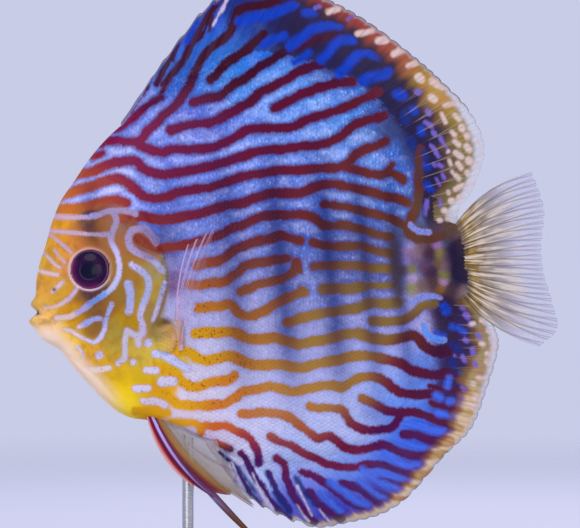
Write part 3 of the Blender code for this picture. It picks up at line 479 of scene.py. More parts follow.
NAVY = (
    (1.19, ((31.6, 131.7), (31.9, 129.7))), (1.13, ((33.3, 124.0), (33.9, 122.6))),
    (0.96, ((37.0, 120.9), (37.6, 119.2))), (0.85, ((45.0, 61.6), (45.3, 60.2))),
    (0.96, ((45.0, 66.2), (46.7, 64.8))),
    (0.4, ((-20.5, 35.6), (-18.3, 33.6), (-15.7, 31.3), (-13.2, 27.9), (-10.9, 24.5))),
    (0.27, ((-22.8, 36.7), (-21.4, 34.1), (-20.5, 31.3))),
    (0.42, ((-20.0, 33.9), (-18.8, 30.7), (-17.7, 27.6))),
    (0.4, ((-7.5, 30.4), (-6.4, 27.6), (-4.7, 25.1))),
    (0.8, ((-5.2, 24.2), (-2.9, 21.1), (-1.0, 18.8))), (0.62, ((0.7, 28.5), (3.0, 24.5), (5.6, 21.1))),
)
VIOLET = (
    (0.77, ((35.0, 137.9), (35.7, 137.7))), (0.57, ((38.0, 132.6), (38.6, 131.6))),
    (0.65, ((37.5, 129.3), (39.1, 128.1))), (0.45, ((39.4, 126.7), (40.0, 125.9))),
    (0.48, ((41.7, 124.7), (42.6, 123.1))), (0.54, ((38.9, 122.7), (39.7, 121.9))),
    (0.4, ((43.1, 122.4), (44.0, 121.4))), (0.45, ((40.3, 120.7), (41.2, 119.4))),
    (0.54, ((41.2, 117.4), (42.0, 116.8))), (0.34, ((39.7, 117.6), (40.0, 116.8))),
    (0.43, ((42.2, 114.7), (42.9, 113.4))), (0.34, ((40.5, 113.3), (41.5, 111.5))),
    (0.43, ((41.6, 107.6), (41.8, 105.5))), (0.57, ((37.9, 107.1), (37.3, 103.3))),
    (0.54, ((47.7, 76.8), (48.2, 76.3))), (0.65, ((48.8, 74.8), (49.4, 74.0))),
    (0.54, ((50.3, 71.9), (51.0, 72.1))), (0.57, ((48.5, 67.7), (49.1, 67.2))),
    (0.65, ((52.2, 69.1), (52.8, 68.3))), (0.65, ((50.7, 64.8), (51.1, 63.6))),
    (0.65, ((51.4, 60.9), (51.9, 60.4))), (0.31, ((45.8, 63.1),)), (0.54, ((47.7, 54.1), (48.5, 53.6))),
    (0.48, ((47.9, 63.1), (48.6, 61.6))), (0.54, ((6.1, 161.8), (7.3, 162.2))),
    (0.4, ((15.4, 158.2), (16.6, 159.2), (17.8, 159.4))),
)
CREAM = (
    (0.85, ((10.0, 160.6), (12.5, 161.4))), (0.79, ((18.2, 154.4), (20.0, 154.6), (22.4, 155.2))),
    (1.11, ((24.1, 152.4), (26.1, 152.6))), (1.08, ((28.6, 148.7), (30.7, 149.8))),
    (0.79, ((32.6, 145.3), (34.9, 146.1))), (1.11, ((35.4, 142.1), (36.1, 141.4))),
    (1.02, ((39.4, 140.9), (41.0, 139.9), (42.3, 139.4))), (1.02, ((39.1, 136.2), (40.0, 135.7))),
    (0.71, ((43.0, 134.0), (44.7, 134.5), (46.7, 135.0))), (0.51, ((42.0, 131.7), (43.2, 129.1))),
    (0.68, ((45.8, 131.2), (47.0, 130.1))), (0.91, ((47.7, 127.8), (47.9, 127.4))),
    (0.68, ((44.9, 126.6), (45.7, 125.7))), (0.68, ((45.8, 123.8), (47.0, 122.8))),
    (0.68, ((46.0, 120.7), (47.6, 119.4))), (0.6, ((46.6, 117.6), (47.6, 116.3))),
    (0.65, ((46.0, 114.2), (47.0, 113.2))), (0.68, ((46.0, 110.3), (47.9, 111.4))),
    (0.88, ((44.7, 106.9), (45.0, 106.8))), (0.79, ((42.7, 104.3), (43.9, 103.7))),
    (0.68, ((41.3, 101.4), (41.6, 101.5))), (0.68, ((43.8, 101.9), (43.9, 101.9))),
    (0.79, ((49.1, 125.7), (49.4, 125.1))), (0.85, ((49.1, 122.4), (49.9, 121.4))),
    (0.99, ((49.7, 118.5), (50.1, 118.2))), (0.85, ((49.4, 115.0), (49.6, 114.6))),
    (0.74, ((49.5, 111.1), (51.0, 112.0))), (0.88, ((47.2, 107.9), (47.8, 107.9))),
    (0.4, ((44.2, 118.6), (44.6, 117.2))), (0.43, ((44.9, 115.3), (45.4, 114.6))),
    (0.48, ((43.9, 109.6), (44.0, 109.2))), (0.4, ((43.7, 120.8), (44.0, 121.2))),
    (0.65, ((52.2, 123.8), (52.5, 123.4))), (0.65, ((53.2, 120.9), (53.2, 120.6))),
    (0.68, ((51.9, 116.9), (52.2, 117.3))), (0.65, ((46.7, 104.7), (47.5, 104.5))),
    (0.68, ((53.7, 77.9), (54.1, 77.4))), (0.74, ((56.0, 76.3), (56.9, 76.2))),
    (0.65, ((53.2, 73.2), (54.1, 72.8))), (0.79, ((55.4, 70.3), (55.8, 70.0))),
    (0.74, ((56.2, 67.9), (56.7, 67.3))), (0.74, ((56.8, 65.1), (57.0, 65.0))),
    (0.68, ((54.9, 63.6), (55.5, 63.4))), (0.68, ((54.9, 61.6), (54.9, 61.4))),
    (0.68, ((55.7, 59.7), (55.8, 59.6))), (0.68, ((52.3, 56.8), (54.0, 56.5), (55.7, 57.0))),
    (0.65, ((53.2, 66.6), (53.8, 66.3))), (0.6, ((50.9, 55.2), (51.3, 55.0))),
    (0.85, ((51.7, 51.3), (53.2, 50.7))), (0.54, ((50.6, 72.0), (51.2, 72.3))),
    (0.6, ((49.8, 49.1), (51.8, 48.4))), (0.45, ((51.8, 79.5),)), (0.45, ((53.8, 77.8),)),
    (0.43, ((54.9, 75.5),)), (0.37, ((50.1, 81.2),)),
)

# Ground and stripe colours by place: where, how wide, and the colour there.
GROUND = (
    (-37.8, 143.6, 3.4, (52, 104, 196)), (-33.3, 151.5, 3.4, (30, 84, 196)),
    (-25.1, 158.3, 3.4, (22, 78, 190)), (-35.8, 147.0, 1.7, (110, 140, 214)),
    (-23.1, 34.1, 2.6, (150, 156, 180)), (-23.9, 39.2, 2.0, (204, 172, 220)),
    (-16.3, 28.5, 2.6, (110, 112, 190)), (-10.6, 22.8, 2.3, (84, 80, 176)),
    (-2.7, 18.8, 2.6, (52, 56, 176)), (-50.6, 121.5, 9.6, (168, 176, 232)),
    (-51.4, 115.2, 3.4, (196, 190, 240)), (-52.0, 128.6, 7.1, (98, 110, 205)),
    (-57.7, 110.1, 8.5, (184, 184, 242)), (-32.2, 118.6, 11.3, (124, 142, 222)),
    (-26.5, 128.3, 7.9, (88, 98, 188)), (-19.4, 141.3, 6.8, (70, 134, 212)),
    (-15.1, 147.6, 3.7, (36, 118, 212)), (-22.5, 146.4, 3.1, (22, 100, 194)),
    (-8.9, 150.4, 3.1, (26, 104, 212)), (-29.3, 147.0, 7.1, (20, 84, 178)),
    (-12.3, 151.2, 6.2, (20, 88, 190)), (-12.3, 156.3, 3.1, (6, 58, 156)),
    (1.9, 140.2, 5.7, (78, 136, 214)), (5.3, 144.7, 3.1, (34, 66, 150)), (16.0, 139.0, 3.1, (46, 86, 170)),
    (1.9, 130.5, 11.3, (118, 158, 230)), (16.0, 134.2, 6.5, (72, 138, 218)),
    (25.4, 127.7, 4.5, (54, 82, 148)), (22.0, 132.2, 2.6, (70, 82, 146)),
    (10.4, 115.8, 3.4, (138, 160, 228)), (-15.1, 160.6, 3.4, (16, 40, 120)),
    (-9.5, 115.8, 12.8, (118, 142, 222)), (-14.6, 120.9, 5.1, (146, 170, 244)),
    (16.0, 117.2, 9.9, (128, 160, 222)), (14.6, 114.4, 2.6, (124, 150, 214)),
    (12.1, 137.3, 2.8, (62, 112, 204)), (30.2, 118.6, 5.1, (62, 106, 200)),
    (-26.5, 103.0, 11.3, (104, 120, 198)), (-35.6, 98.2, 2.8, (44, 56, 124)),
    (-35.0, 93.1, 2.6, (68, 58, 100)), (-35.0, 115.2, 3.7, (94, 102, 194)),
    (-35.0, 104.5, 3.4, (64, 84, 174)), (1.9, 105.9, 11.3, (92, 114, 190)),
    (24.6, 105.9, 7.1, (82, 122, 196)), (-18.0, 90.3, 11.3, (140, 142, 196)),
    (1.9, 88.9, 9.9, (98, 110, 176)), (21.7, 93.1, 9.9, (94, 100, 156)),
    (-15.1, 71.8, 11.3, (168, 168, 212)), (7.5, 70.4, 11.3, (150, 152, 204)),
    (27.4, 71.8, 8.5, (162, 158, 210)), (-22.2, 59.1, 9.9, (204, 198, 222)),
    (1.9, 56.3, 11.3, (178, 180, 228)), (26.0, 60.5, 8.5, (164, 178, 236)),
    (-29.3, 47.7, 8.5, (228, 212, 226)), (-12.3, 43.5, 9.9, (212, 212, 246)),
    (10.4, 43.5, 9.9, (190, 200, 246)), (30.2, 50.6, 6.2, (102, 146, 237)),
    (22.3, 47.7, 3.1, (120, 138, 206)), (35.9, 59.1, 5.1, (76, 116, 206)),
    (-23.6, 39.2, 5.7, (228, 206, 232)), (1.9, 33.6, 7.1, (176, 196, 250)),
    (-9.5, 29.3, 5.1, (190, 208, 255)), (-12.3, 35.8, 3.4, (228, 224, 255)),
    (1.9, 23.6, 7.1, (84, 100, 216)), (4.7, 25.6, 2.8, (118, 130, 238)), (16.0, 29.3, 6.2, (94, 132, 230)),
    (27.4, 32.1, 5.7, (58, 102, 216)), (35.9, 42.1, 5.1, (30, 84, 210)), (13.2, 19.4, 6.2, (50, 54, 184)),
    (-36.4, 88.0, 4.0, (112, 108, 170)), (-34.4, 84.6, 2.6, (104, 64, 104)), (1.9, 154.1, 5.1, (14, 8, 60)),
    (-4.4, 155.5, 3.4, (8, 30, 100)), (11.8, 147.8, 4.8, (14, 8, 60)), (20.3, 145.0, 4.3, (18, 10, 62)),
    (27.4, 139.3, 4.5, (22, 12, 60)), (31.6, 133.4, 4.3, (26, 16, 58)), (27.4, 126.9, 3.1, (44, 46, 84)),
    (33.1, 121.5, 2.6, (38, 34, 64)), (33.1, 98.5, 2.3, (84, 68, 66)), (34.5, 125.7, 4.0, (36, 24, 66)),
    (36.5, 118.6, 4.0, (36, 24, 62)), (38.7, 110.1, 3.4, (40, 28, 58)), (40.7, 103.9, 2.6, (52, 38, 56)),
    (32.8, 94.5, 1.1, (150, 140, 196)), (32.2, 92.3, 1.4, (150, 108, 146)),
    (34.5, 92.5, 1.4, (136, 100, 108)), (31.9, 90.0, 1.1, (140, 116, 180)),
    (34.2, 90.3, 1.1, (110, 80, 104)), (33.3, 87.7, 1.1, (124, 114, 58)), (31.1, 87.4, 1.1, (80, 62, 70)),
    (33.6, 84.9, 1.1, (172, 146, 186)), (33.6, 82.1, 1.4, (140, 126, 50)), (38.2, 95.9, 1.7, (104, 62, 48)),
    (35.9, 94.2, 1.4, (110, 80, 84)), (38.2, 92.0, 1.4, (74, 44, 58)), (37.0, 88.6, 1.4, (92, 62, 88)),
    (38.7, 86.6, 1.4, (72, 42, 64)), (39.0, 83.5, 1.4, (90, 60, 60)), (36.2, 82.9, 1.7, (110, 86, 84)),
    (40.2, 94.5, 0.9, (160, 112, 180)), (41.3, 92.0, 1.1, (130, 112, 56)), (41.3, 89.4, 1.1, (112, 88, 56)),
    (43.0, 91.4, 1.1, (100, 78, 88)), (42.7, 88.6, 1.1, (112, 84, 102)), (42.4, 86.0, 1.1, (120, 112, 62)),
    (42.4, 84.0, 0.9, (156, 118, 156)), (41.6, 81.8, 1.1, (136, 92, 40)), (44.7, 81.2, 1.4, (74, 52, 56)),
    (47.2, 80.1, 1.4, (124, 100, 96)), (43.6, 99.1, 1.7, (90, 66, 54)), (40.4, 99.6, 1.4, (76, 58, 78)),
    (47.8, 86.9, 1.4, (40, 28, 52)), (47.5, 93.4, 1.4, (50, 34, 48)), (47.5, 90.3, 1.1, (44, 28, 48)),
    (43.6, 76.1, 3.4, (44, 26, 58)), (45.3, 69.9, 3.7, (50, 34, 66)), (46.7, 64.8, 3.7, (52, 32, 70)),
    (45.0, 59.7, 4.0, (54, 30, 74)), (44.4, 50.6, 4.0, (64, 34, 90)), (41.0, 39.2, 4.0, (70, 42, 120)),
    (33.6, 31.3, 4.0, (64, 42, 146)), (23.1, 24.5, 4.5, (58, 40, 150)), (10.4, 18.8, 4.0, (56, 46, 164)),
    (1.9, 160.6, 4.0, (40, 24, 84)),
)
STRIPE = (
    (-36.4, 144.2, 4.0, (54, 18, 50)), (-30.5, 154.4, 4.0, (56, 12, 46)), (-19.4, 31.9, 3.4, (40, 32, 84)),
    (-12.3, 24.5, 3.7, (52, 30, 92)), (-4.4, 20.0, 3.7, (46, 26, 104)), (-36.1, 67.6, 2.6, (200, 150, 70)),
    (-49.2, 127.1, 8.5, (116, 14, 66)), (-43.5, 118.6, 9.9, (112, 8, 66)),
    (-60.5, 114.4, 7.1, (160, 66, 44)), (-64.8, 105.9, 7.1, (192, 112, 40)),
    (-52.0, 108.7, 6.2, (150, 62, 42)), (-26.5, 124.3, 11.3, (92, 4, 60)),
    (-26.5, 110.1, 11.3, (92, 6, 50)), (-18.0, 147.0, 9.9, (52, 0, 32)), (-3.8, 149.8, 5.1, (40, 2, 34)),
    (-29.3, 149.8, 7.1, (56, 12, 50)), (-40.7, 138.5, 5.7, (66, 12, 54)), (1.9, 135.6, 11.3, (84, 8, 46)),
    (16.0, 132.8, 8.5, (88, 22, 42)), (10.4, 147.0, 5.7, (44, 4, 44)), (-6.6, 113.0, 11.3, (94, 16, 46)),
    (16.0, 113.0, 8.5, (104, 40, 42)), (27.4, 111.5, 7.1, (96, 42, 34)), (-37.8, 94.5, 5.7, (126, 48, 34)),
    (-35.0, 101.6, 7.1, (112, 30, 42)), (-15.1, 97.4, 9.9, (92, 26, 42)), (1.9, 100.2, 9.9, (100, 38, 36)),
    (-23.6, 87.4, 5.7, (144, 76, 34)), (-23.6, 78.9, 6.2, (170, 98, 36)), (-9.5, 87.4, 8.5, (116, 66, 44)),
    (-9.5, 76.1, 8.5, (148, 90, 42)), (16.0, 98.8, 8.5, (100, 62, 42)), (16.0, 81.8, 8.5, (122, 94, 52)),
    (27.4, 78.9, 7.1, (124, 104, 52)), (37.3, 95.9, 5.7, (94, 56, 40)), (35.9, 115.2, 2.6, (84, 54, 52)),
    (35.3, 106.7, 2.6, (94, 66, 46)), (-23.6, 69.0, 7.1, (198, 146, 14)),
    (-27.9, 63.3, 7.1, (212, 160, 14)), (-12.3, 66.2, 8.5, (170, 114, 40)),
    (7.5, 67.6, 9.9, (146, 112, 54)), (24.6, 73.3, 6.2, (138, 106, 52)), (34.5, 67.6, 5.1, (92, 32, 40)),
    (41.6, 64.8, 4.3, (66, 18, 52)), (-32.2, 53.4, 7.1, (218, 160, 18)), (-18.0, 52.0, 8.5, (204, 122, 40)),
    (-1.0, 54.8, 9.9, (180, 132, 58)), (16.0, 56.3, 8.5, (160, 118, 54)), (30.2, 54.8, 6.2, (96, 20, 52)),
    (38.7, 53.4, 5.1, (78, 20, 58)), (-30.7, 44.9, 5.1, (236, 172, 40)), (-20.8, 42.9, 4.3, (206, 92, 46)),
    (-12.3, 39.2, 4.0, (168, 42, 58)), (-8.1, 46.3, 6.2, (190, 122, 84)), (1.9, 43.5, 5.7, (184, 104, 56)),
    (10.4, 47.7, 5.7, (178, 130, 64)), (16.0, 43.5, 5.7, (116, 34, 62)), (26.0, 42.1, 5.7, (78, 10, 74)),
    (-1.0, 36.4, 7.1, (130, 42, 76)), (13.2, 37.8, 7.1, (112, 24, 66)), (30.2, 35.0, 6.2, (72, 14, 78)),
    (-1.0, 25.1, 6.2, (76, 14, 92)), (13.2, 22.2, 6.2, (70, 20, 96)), (-12.3, 32.1, 5.7, (68, 24, 110)),
    (27.4, 27.9, 5.7, (68, 26, 98)),
)
FACE = (
    (-63.3, 110.1, 4.5, (200, 112, 58)), (-64.8, 104.7, 4.0, (194, 126, 48)),
    (-66.2, 100.5, 4.0, (220, 154, 30)), (-58.2, 101.1, 2.6, (104, 66, 74)),
    (-56.5, 105.0, 2.3, (92, 64, 82)), (-51.2, 99.4, 2.6, (134, 100, 84)),
    (-54.3, 99.9, 2.8, (144, 82, 40)), (-51.4, 105.6, 3.4, (136, 80, 72)),
    (-45.8, 103.3, 2.8, (108, 64, 60)), (-61.9, 96.5, 2.8, (190, 114, 58)),
    (-66.2, 94.2, 3.4, (206, 144, 40)), (-64.5, 88.6, 3.4, (212, 142, 84)),
    (-70.4, 88.6, 3.7, (210, 162, 42)), (-70.4, 82.9, 3.7, (208, 144, 58)),
    (-71.9, 78.4, 3.4, (210, 162, 66)), (-66.2, 81.5, 3.4, (196, 152, 46)),
    (-61.6, 78.4, 3.4, (192, 132, 22)), (-71.3, 73.3, 2.8, (238, 184, 90)),
    (-74.1, 73.0, 1.7, (244, 206, 130)), (-74.4, 77.5, 1.7, (190, 160, 104)),
    (-68.4, 68.7, 3.4, (234, 190, 150)), (-63.3, 67.0, 3.7, (244, 196, 44)),
    (-59.9, 73.3, 3.4, (192, 136, 14)), (-56.8, 71.0, 2.6, (112, 80, 52)), (-58.5, 80.6, 2.0, (44, 26, 62)),
    (-56.0, 80.1, 2.0, (48, 28, 58)), (-53.7, 81.2, 1.7, (60, 38, 58)), (-60.5, 79.5, 1.1, (104, 76, 60)),
    (-54.8, 77.5, 1.4, (84, 62, 50)), (-56.3, 76.7, 2.6, (104, 68, 44)), (-57.7, 75.8, 2.0, (84, 66, 50)),
    (-53.1, 78.9, 3.1, (144, 94, 32)), (-49.2, 81.2, 2.6, (134, 106, 42)),
    (-49.7, 69.9, 2.8, (156, 134, 50)), (-51.4, 66.2, 2.8, (172, 152, 62)),
    (-46.3, 73.3, 2.6, (168, 126, 14)), (-47.7, 86.9, 3.4, (144, 102, 30)),
    (-49.2, 94.2, 2.8, (150, 96, 56)), (-43.5, 88.0, 3.4, (162, 116, 46)),
    (-41.8, 93.1, 2.6, (118, 76, 70)), (-40.1, 81.8, 2.8, (160, 134, 50)),
    (-40.1, 87.4, 2.6, (140, 132, 90)), (-39.0, 75.5, 2.3, (144, 122, 62)),
    (-39.0, 69.3, 1.7, (146, 130, 74)), (-37.5, 72.7, 1.1, (104, 82, 42)), (-35.8, 73.5, 0.9, (82, 62, 42)),
    (-35.8, 69.9, 1.7, (176, 138, 78)), (-34.1, 66.5, 1.7, (210, 170, 92)),
    (-32.4, 64.8, 1.1, (226, 176, 120)), (-33.0, 68.4, 1.1, (222, 176, 156)),
    (-44.6, 66.2, 3.4, (190, 158, 56)), (-40.7, 62.5, 4.0, (206, 178, 66)),
    (-52.0, 57.7, 4.5, (214, 168, 30)), (-49.2, 52.0, 4.5, (248, 210, 12)),
    (-46.3, 48.9, 4.0, (252, 222, 56)), (-54.8, 64.2, 3.7, (204, 154, 40)),
    (-57.7, 61.9, 3.4, (228, 166, 42)), (-41.8, 55.7, 4.5, (206, 168, 20)),
    (-40.1, 47.2, 4.0, (232, 154, 14)), (-37.3, 51.7, 4.0, (228, 168, 14)),
)
LINE = (
    (-64.5, 103.3, 3.4, (188, 160, 182)), (-49.7, 101.1, 3.4, (146, 134, 174)),
    (-46.3, 95.9, 3.1, (148, 138, 184)), (-40.7, 95.9, 2.6, (120, 106, 150)),
    (-49.5, 89.7, 3.4, (186, 184, 230)), (-58.2, 107.3, 2.8, (138, 140, 212)),
    (-68.4, 81.2, 2.8, (208, 180, 184)), (-62.2, 81.8, 2.6, (190, 168, 200)),
    (-70.7, 77.5, 2.6, (206, 172, 158)), (-65.0, 73.8, 2.6, (210, 186, 178)),
    (-59.4, 76.4, 1.7, (156, 152, 204)), (-56.5, 78.7, 1.7, (96, 134, 208)),
    (-54.0, 80.4, 1.7, (92, 142, 220)), (-51.4, 82.3, 2.3, (176, 186, 222)),
    (-46.0, 80.4, 3.1, (148, 160, 210)), (-40.7, 83.5, 3.1, (154, 160, 202)),
    (-42.9, 73.3, 3.1, (178, 170, 206)), (-57.7, 72.7, 2.0, (140, 154, 220)),
    (-47.5, 66.5, 2.8, (184, 178, 200)), (-57.1, 66.7, 2.6, (192, 190, 236)),
    (-60.5, 68.7, 2.3, (218, 196, 204)), (-55.4, 63.1, 2.6, (186, 180, 210)),
    (-54.8, 59.1, 2.3, (222, 204, 196)), (-43.5, 54.0, 4.0, (208, 198, 226)),
    (-40.1, 50.0, 4.0, (206, 194, 218)), (-37.0, 56.0, 3.4, (200, 194, 224)),
    (-34.4, 62.5, 3.4, (182, 188, 236)), (-26.5, 42.1, 5.7, (206, 196, 226)),
    (-12.3, 27.9, 11.3, (190, 188, 230)), (33.1, 100.2, 8.5, (120, 134, 214)),
    (33.3, 78.4, 4.0, (116, 138, 220)), (39.3, 69.3, 4.0, (84, 142, 236)),
    (-22.2, 155.5, 7.1, (196, 186, 214)),
)
FACE_REGION = (
    (-74.7, 105.6), (-66.2, 105.3), (-59.1, 105.6), (-52.6, 106.7), (-48.6, 106.2), (-46.0, 103.3),
    (-42.6, 99.4), (-39.5, 96.5), (-37.3, 93.1), (-35.8, 87.4), (-36.1, 78.9), (-37.0, 74.4), (-34.1, 72.7),
    (-32.2, 69.3), (-30.7, 65.6), (-29.3, 60.8), (-32.2, 57.1), (-32.7, 54.0), (-34.4, 50.0), (-36.1, 45.8),
    (-39.0, 42.1), (-49.2, 42.1), (-66.2, 50.6), (-80.4, 70.4), (-77.5, 93.1),
)
BARS = (  # dark upright bars: place, half width, depth
    (-16.9, 3.9, 0.8), (-3.4, 3.8, 1.0), (10.4, 3.5, 1.0), (20.6, 2.6, 0.9), (29.7, 2.3, 0.8), (39.6, 2.2, 0.4),
)
SOLID_BARS = (  # two that hide the stripes: the points they run through, half width, share, colour
    (((27.9, 99.0), (28.6, 91.0), (29.1, 84.0), (30.1, 76.5)), 2.3, 0.82, (60, 44, 42)),
    (((43.6, 96.9), (45.0, 93.0), (45.7, 89.5), (46.0, 86.0), (46.3, 81.6)), 2.5, 1.0, (30, 20, 52)),
)


def linear(colour):
    """A colour given in 0 to 255 as the eye sees it, as shader values."""
    value = np.array(colour, float) / 255.0
    return np.where(value <= 0.04045, value / 12.92, ((value + 0.055) / 1.055) ** 2.4)


def shade_of(x, z, spots):
    """A colour for each place, running smoothly from spot to spot."""
    total = np.full(np.shape(x), 1e-12)
    colour = np.zeros((*np.shape(x), 3))
    for spot_x, spot_z, width, tone in spots:
        weight = np.exp(-np.minimum(((x - spot_x) ** 2 + (z - spot_z) ** 2) / width**2, 60.0)) + 1e-11 / (
            1.0 + ((x - spot_x) ** 2 + (z - spot_z) ** 2)
        )
        total += weight
        colour += weight[:, None] * np.array(tone, float)
    return linear(colour / total[:, None])


def strokes(x, z, rows):
    """How deep each place lies inside the nearest stroke of these rows; outside it is below zero."""
    depth = np.full(np.shape(x), -3.0)
    order = np.argsort(x)
    sorted_x = x[order]
    for half, points in rows:
        points = np.array(points, float)
        if len(points) > 2:
            key = np.arange(len(points))
            points = Curve(key, points)(np.linspace(0.0, key[-1], key[-1] * 3 + 1))
        reach = half + 1.0
        first = np.searchsorted(sorted_x, points[:, 0].min() - reach)
        last = np.searchsorted(sorted_x, points[:, 0].max() + reach)
        some = order[first:last]
        some = some[(z[some] > points[:, 1].min() - reach) & (z[some] < points[:, 1].max() + reach)]
        if not len(some):
            continue
        if len(points) == 1:
            far = np.hypot(x[some] - points[0, 0], z[some] - points[0, 1])
        else:
            far, _ = along(x[some], z[some], points)
        depth[some] = np.maximum(depth[some], half - far)
    return depth


def inside(x, z, points):
    """The signed distance into a closed region of the side view."""
    ring = [*points, points[0]]
    far, _ = along(x, z, ring)
    odd = np.zeros(np.shape(x), bool)
    for (ax, az), (bx, bz) in zip(ring, ring[1:]):
        if az != bz:
            odd ^= ((az > z) != (bz > z)) & (x < (bx - ax) * (z - az) / (bz - az) + ax)
    return np.where(odd, far, -far)


def markings(x, z, side):
    """Everything a finish reads at a place: the depths inside the strokes and the two colours they part."""
    share = share_at(x, z)
    drift = (side > 0) * (1.0 - smooth(share, 0.6, 0.9))
    x = x + drift * 1.6 * np.sin(0.11 * z + 1.0)
    z = z + drift * 1.5 * np.sin(0.09 * x + 0.8)
    face = smooth(inside(x, z, FACE_REGION), -1.6, 1.0)[:, None]
    ground = shade_of(x, z, GROUND) * (1.0 - face) + shade_of(x, z, FACE) * face
    stripe = shade_of(x, z, STRIPE)
    light = np.ones(np.shape(x))
    for place, half, depth in BARS:
        tall = near(np.maximum(np.abs(z - 88.0) - 16.0, 0.0), 0.0, 18.0)
        light *= 1.0 - depth * tall * near(x + 0.1 * (z - 86.0), place, half)
    light *= 1.0 - 0.62 * near(x, EYE_X, 2.9) * near(np.maximum(np.abs(z - 103.0) - 6.0, 0.0), 0.0, 4.0)
    stalk = smooth(x, 26.5, 31.5) * near(z, 89.0, 11.0)
    dim = 1.0 - light[:, None]
    ground = ground * (1.0 - dim * (0.83, 0.77, 0.58))
    stripe = stripe * (1.0 - dim * (0.58, 0.66, 0.1))
    for points, half, share_in, tone in SOLID_BARS:
        far, run = along(x, z, points)
        ends = near(np.maximum(np.abs(run - 0.5) - 0.25, 0.0), 0.0, 0.22)
        bar = (share_in * ends * (1.0 - smooth(far, half * 0.1, half * 1.5)))[:, None]
        ground = ground * (1.0 - bar) + linear(tone) * bar
        stripe = stripe * (1.0 - bar) + linear(tone) * bar
    bright = smooth(ground.mean(axis=1), 0.06, 0.22)
    return {
        "dark": strokes(x, z, DARK),
        "pale": strokes(x, z, PALE),
        "blue": strokes(x, z, BLUE),
        "navy": strokes(x, z, NAVY),
        "violet": strokes(x, z, VIOLET),
        "cream": strokes(x, z, CREAM),
        "vivid": bright * (1.0 - face[:, 0]) * (1.0 - stalk) * (0.25 + 0.75 * smooth(z + 0.3 * x, 66.0, 100.0)) * (1.0 - 0.65 * smooth(z, 136.0, 150.0)),
        "low": 1.0 - smooth(z, 54.0, 82.0),
        "rusty": near(x, -23.0, 13.0) * smooth(z, 45.0, 52.0) * (1.0 - smooth(z, 96.0, 106.0)),
        "specked": 1.0 - smooth(-x, 60.0, 68.0) * (1.0 - smooth(z, 102.0, 110.0)),
        "line": shade_of(x, z, LINE),
        "ground": ground,
        "stripe": stripe,
    }


def keep(mesh, values):
    """Stores what markings() gives, and anything like it, on a mesh's vertices."""
    for name, found in values.items():
        if found.ndim == 1:
            stored = mesh.attributes.new(name, "FLOAT", "POINT")
            stored.data.foreach_set("value", found.astype(np.float32))
        else:
            stored = mesh.attributes.new(name, "FLOAT_COLOR", "POINT")
            full = np.ones((len(found), 4), np.float32)
            full[:, :3] = found
            stored.data.foreach_set("color", full.ravel())


class Shade:
    """A value in a finish: sums, products and powers of these add Math nodes."""

    def __init__(self, finish, socket):
        self.finish = finish
        self.socket = socket

    def maths(self, operation, *others, clamp=False):
        values = dict(enumerate((self, *others)))
        return self.finish.add("ShaderNodeMath", {"operation": operation, "use_clamp": clamp}, values)

    def flipped(self, operation, other):
        return self.finish.add("ShaderNodeMath", {"operation": operation}, {0: other, 1: self})

    def __add__(self, other):
        return self.maths("ADD", other)

    def __sub__(self, other):
        return self.maths("SUBTRACT", other)

    def __mul__(self, other):
        return self.maths("MULTIPLY", other)

    def __truediv__(self, other):
        return self.maths("DIVIDE", other)

    def __pow__(self, other):
        return self.maths("POWER", other)

    def __rsub__(self, other):
        return self.flipped("SUBTRACT", other)

    def __rtruediv__(self, other):
        return self.flipped("DIVIDE", other)

    __radd__ = __add__
    __rmul__ = __mul__

    def step(self, low, high):
        """0 where this is below low, 1 above high, smooth between them."""
        settings = {"interpolation_type": "SMOOTHSTEP"}
        return self.finish.add(
            "ShaderNodeMapRange", settings, {"Value": self, "From Min": low, "From Max": high}
        )


class Finish:
    """A material being made round its Principled shader, whose constant sockets are set first."""

    def __init__(self, name, **constants):
        self.material = bpy.data.materials.new(name)
        self.material.use_nodes = True
        self.nodes = self.material.node_tree.nodes
        self.links = self.material.node_tree.links
        self.shader = self.nodes["Principled BSDF"]
        for key, value in constants.items():
            self.shader.inputs[key.replace("_", " ")].default_value = value

    def add(self, kind, settings=None, sockets=None, output=0):
        node = self.nodes.new(kind)
        for key, value in (settings or {}).items():
            if key == "stops":
                ramp = node.color_ramp.elements
                while len(ramp) < len(value):
                    ramp.new(1.0)
                for element, (position, colour) in zip(ramp, value):
                    element.position = position
                    element.color = colour
            else:
                setattr(node, key, value)
        for key, value in (sockets or {}).items():
            if isinstance(value, Shade):
                self.links.new(value.socket, node.inputs[key])
            else:
                node.inputs[key].default_value = value
        return Shade(self, node.outputs[output])

    def read(self, name):
        """A number stored on the mesh."""
        return self.add("ShaderNodeAttribute", {"attribute_name": name}, output="Fac")

    def colour(self, name):
        """A colour stored on the mesh."""
        return self.add("ShaderNodeAttribute", {"attribute_name": name}, output="Color")

    def place(self, stretch=(1.0, 1.0, 1.0)):
        """The place on the object, in metres, drawn out or pressed together along its axes."""
        found = self.add("ShaderNodeTexCoord", output="Object")
        return self.add("ShaderNodeMapping", {"vector_type": "POINT"}, {"Vector": found, "Scale": stretch})

    def noise(self, vector, scale, detail=2.0, roughness=0.5):
        values = {"Vector": vector, "Scale": scale, "Detail": detail, "Roughness": roughness}
        return self.add("ShaderNodeTexNoise", {}, values)

    def mix(self, share, first, second, blend="MIX"):
        """Colour first where share is 0, second where it is 1."""
        settings = {"data_type": "RGBA", "blend_type": blend, "clamp_factor": True}
        return self.add("ShaderNodeMix", settings, {0: share, 6: first, 7: second}, 2)

    def lit(self, colour, amount):
        """A colour multiplied by a number."""
        grey = self.add("ShaderNodeCombineXYZ", {}, {0: amount, 1: amount, 2: amount})
        return self.add("ShaderNodeVectorMath", {"operation": "MULTIPLY"}, {0: colour, 1: grey})

    def feed(self, **values):
        for key, value in values.items():
            self.links.new(value.socket, self.shader.inputs[key.replace("_", " ")])
        return self.material


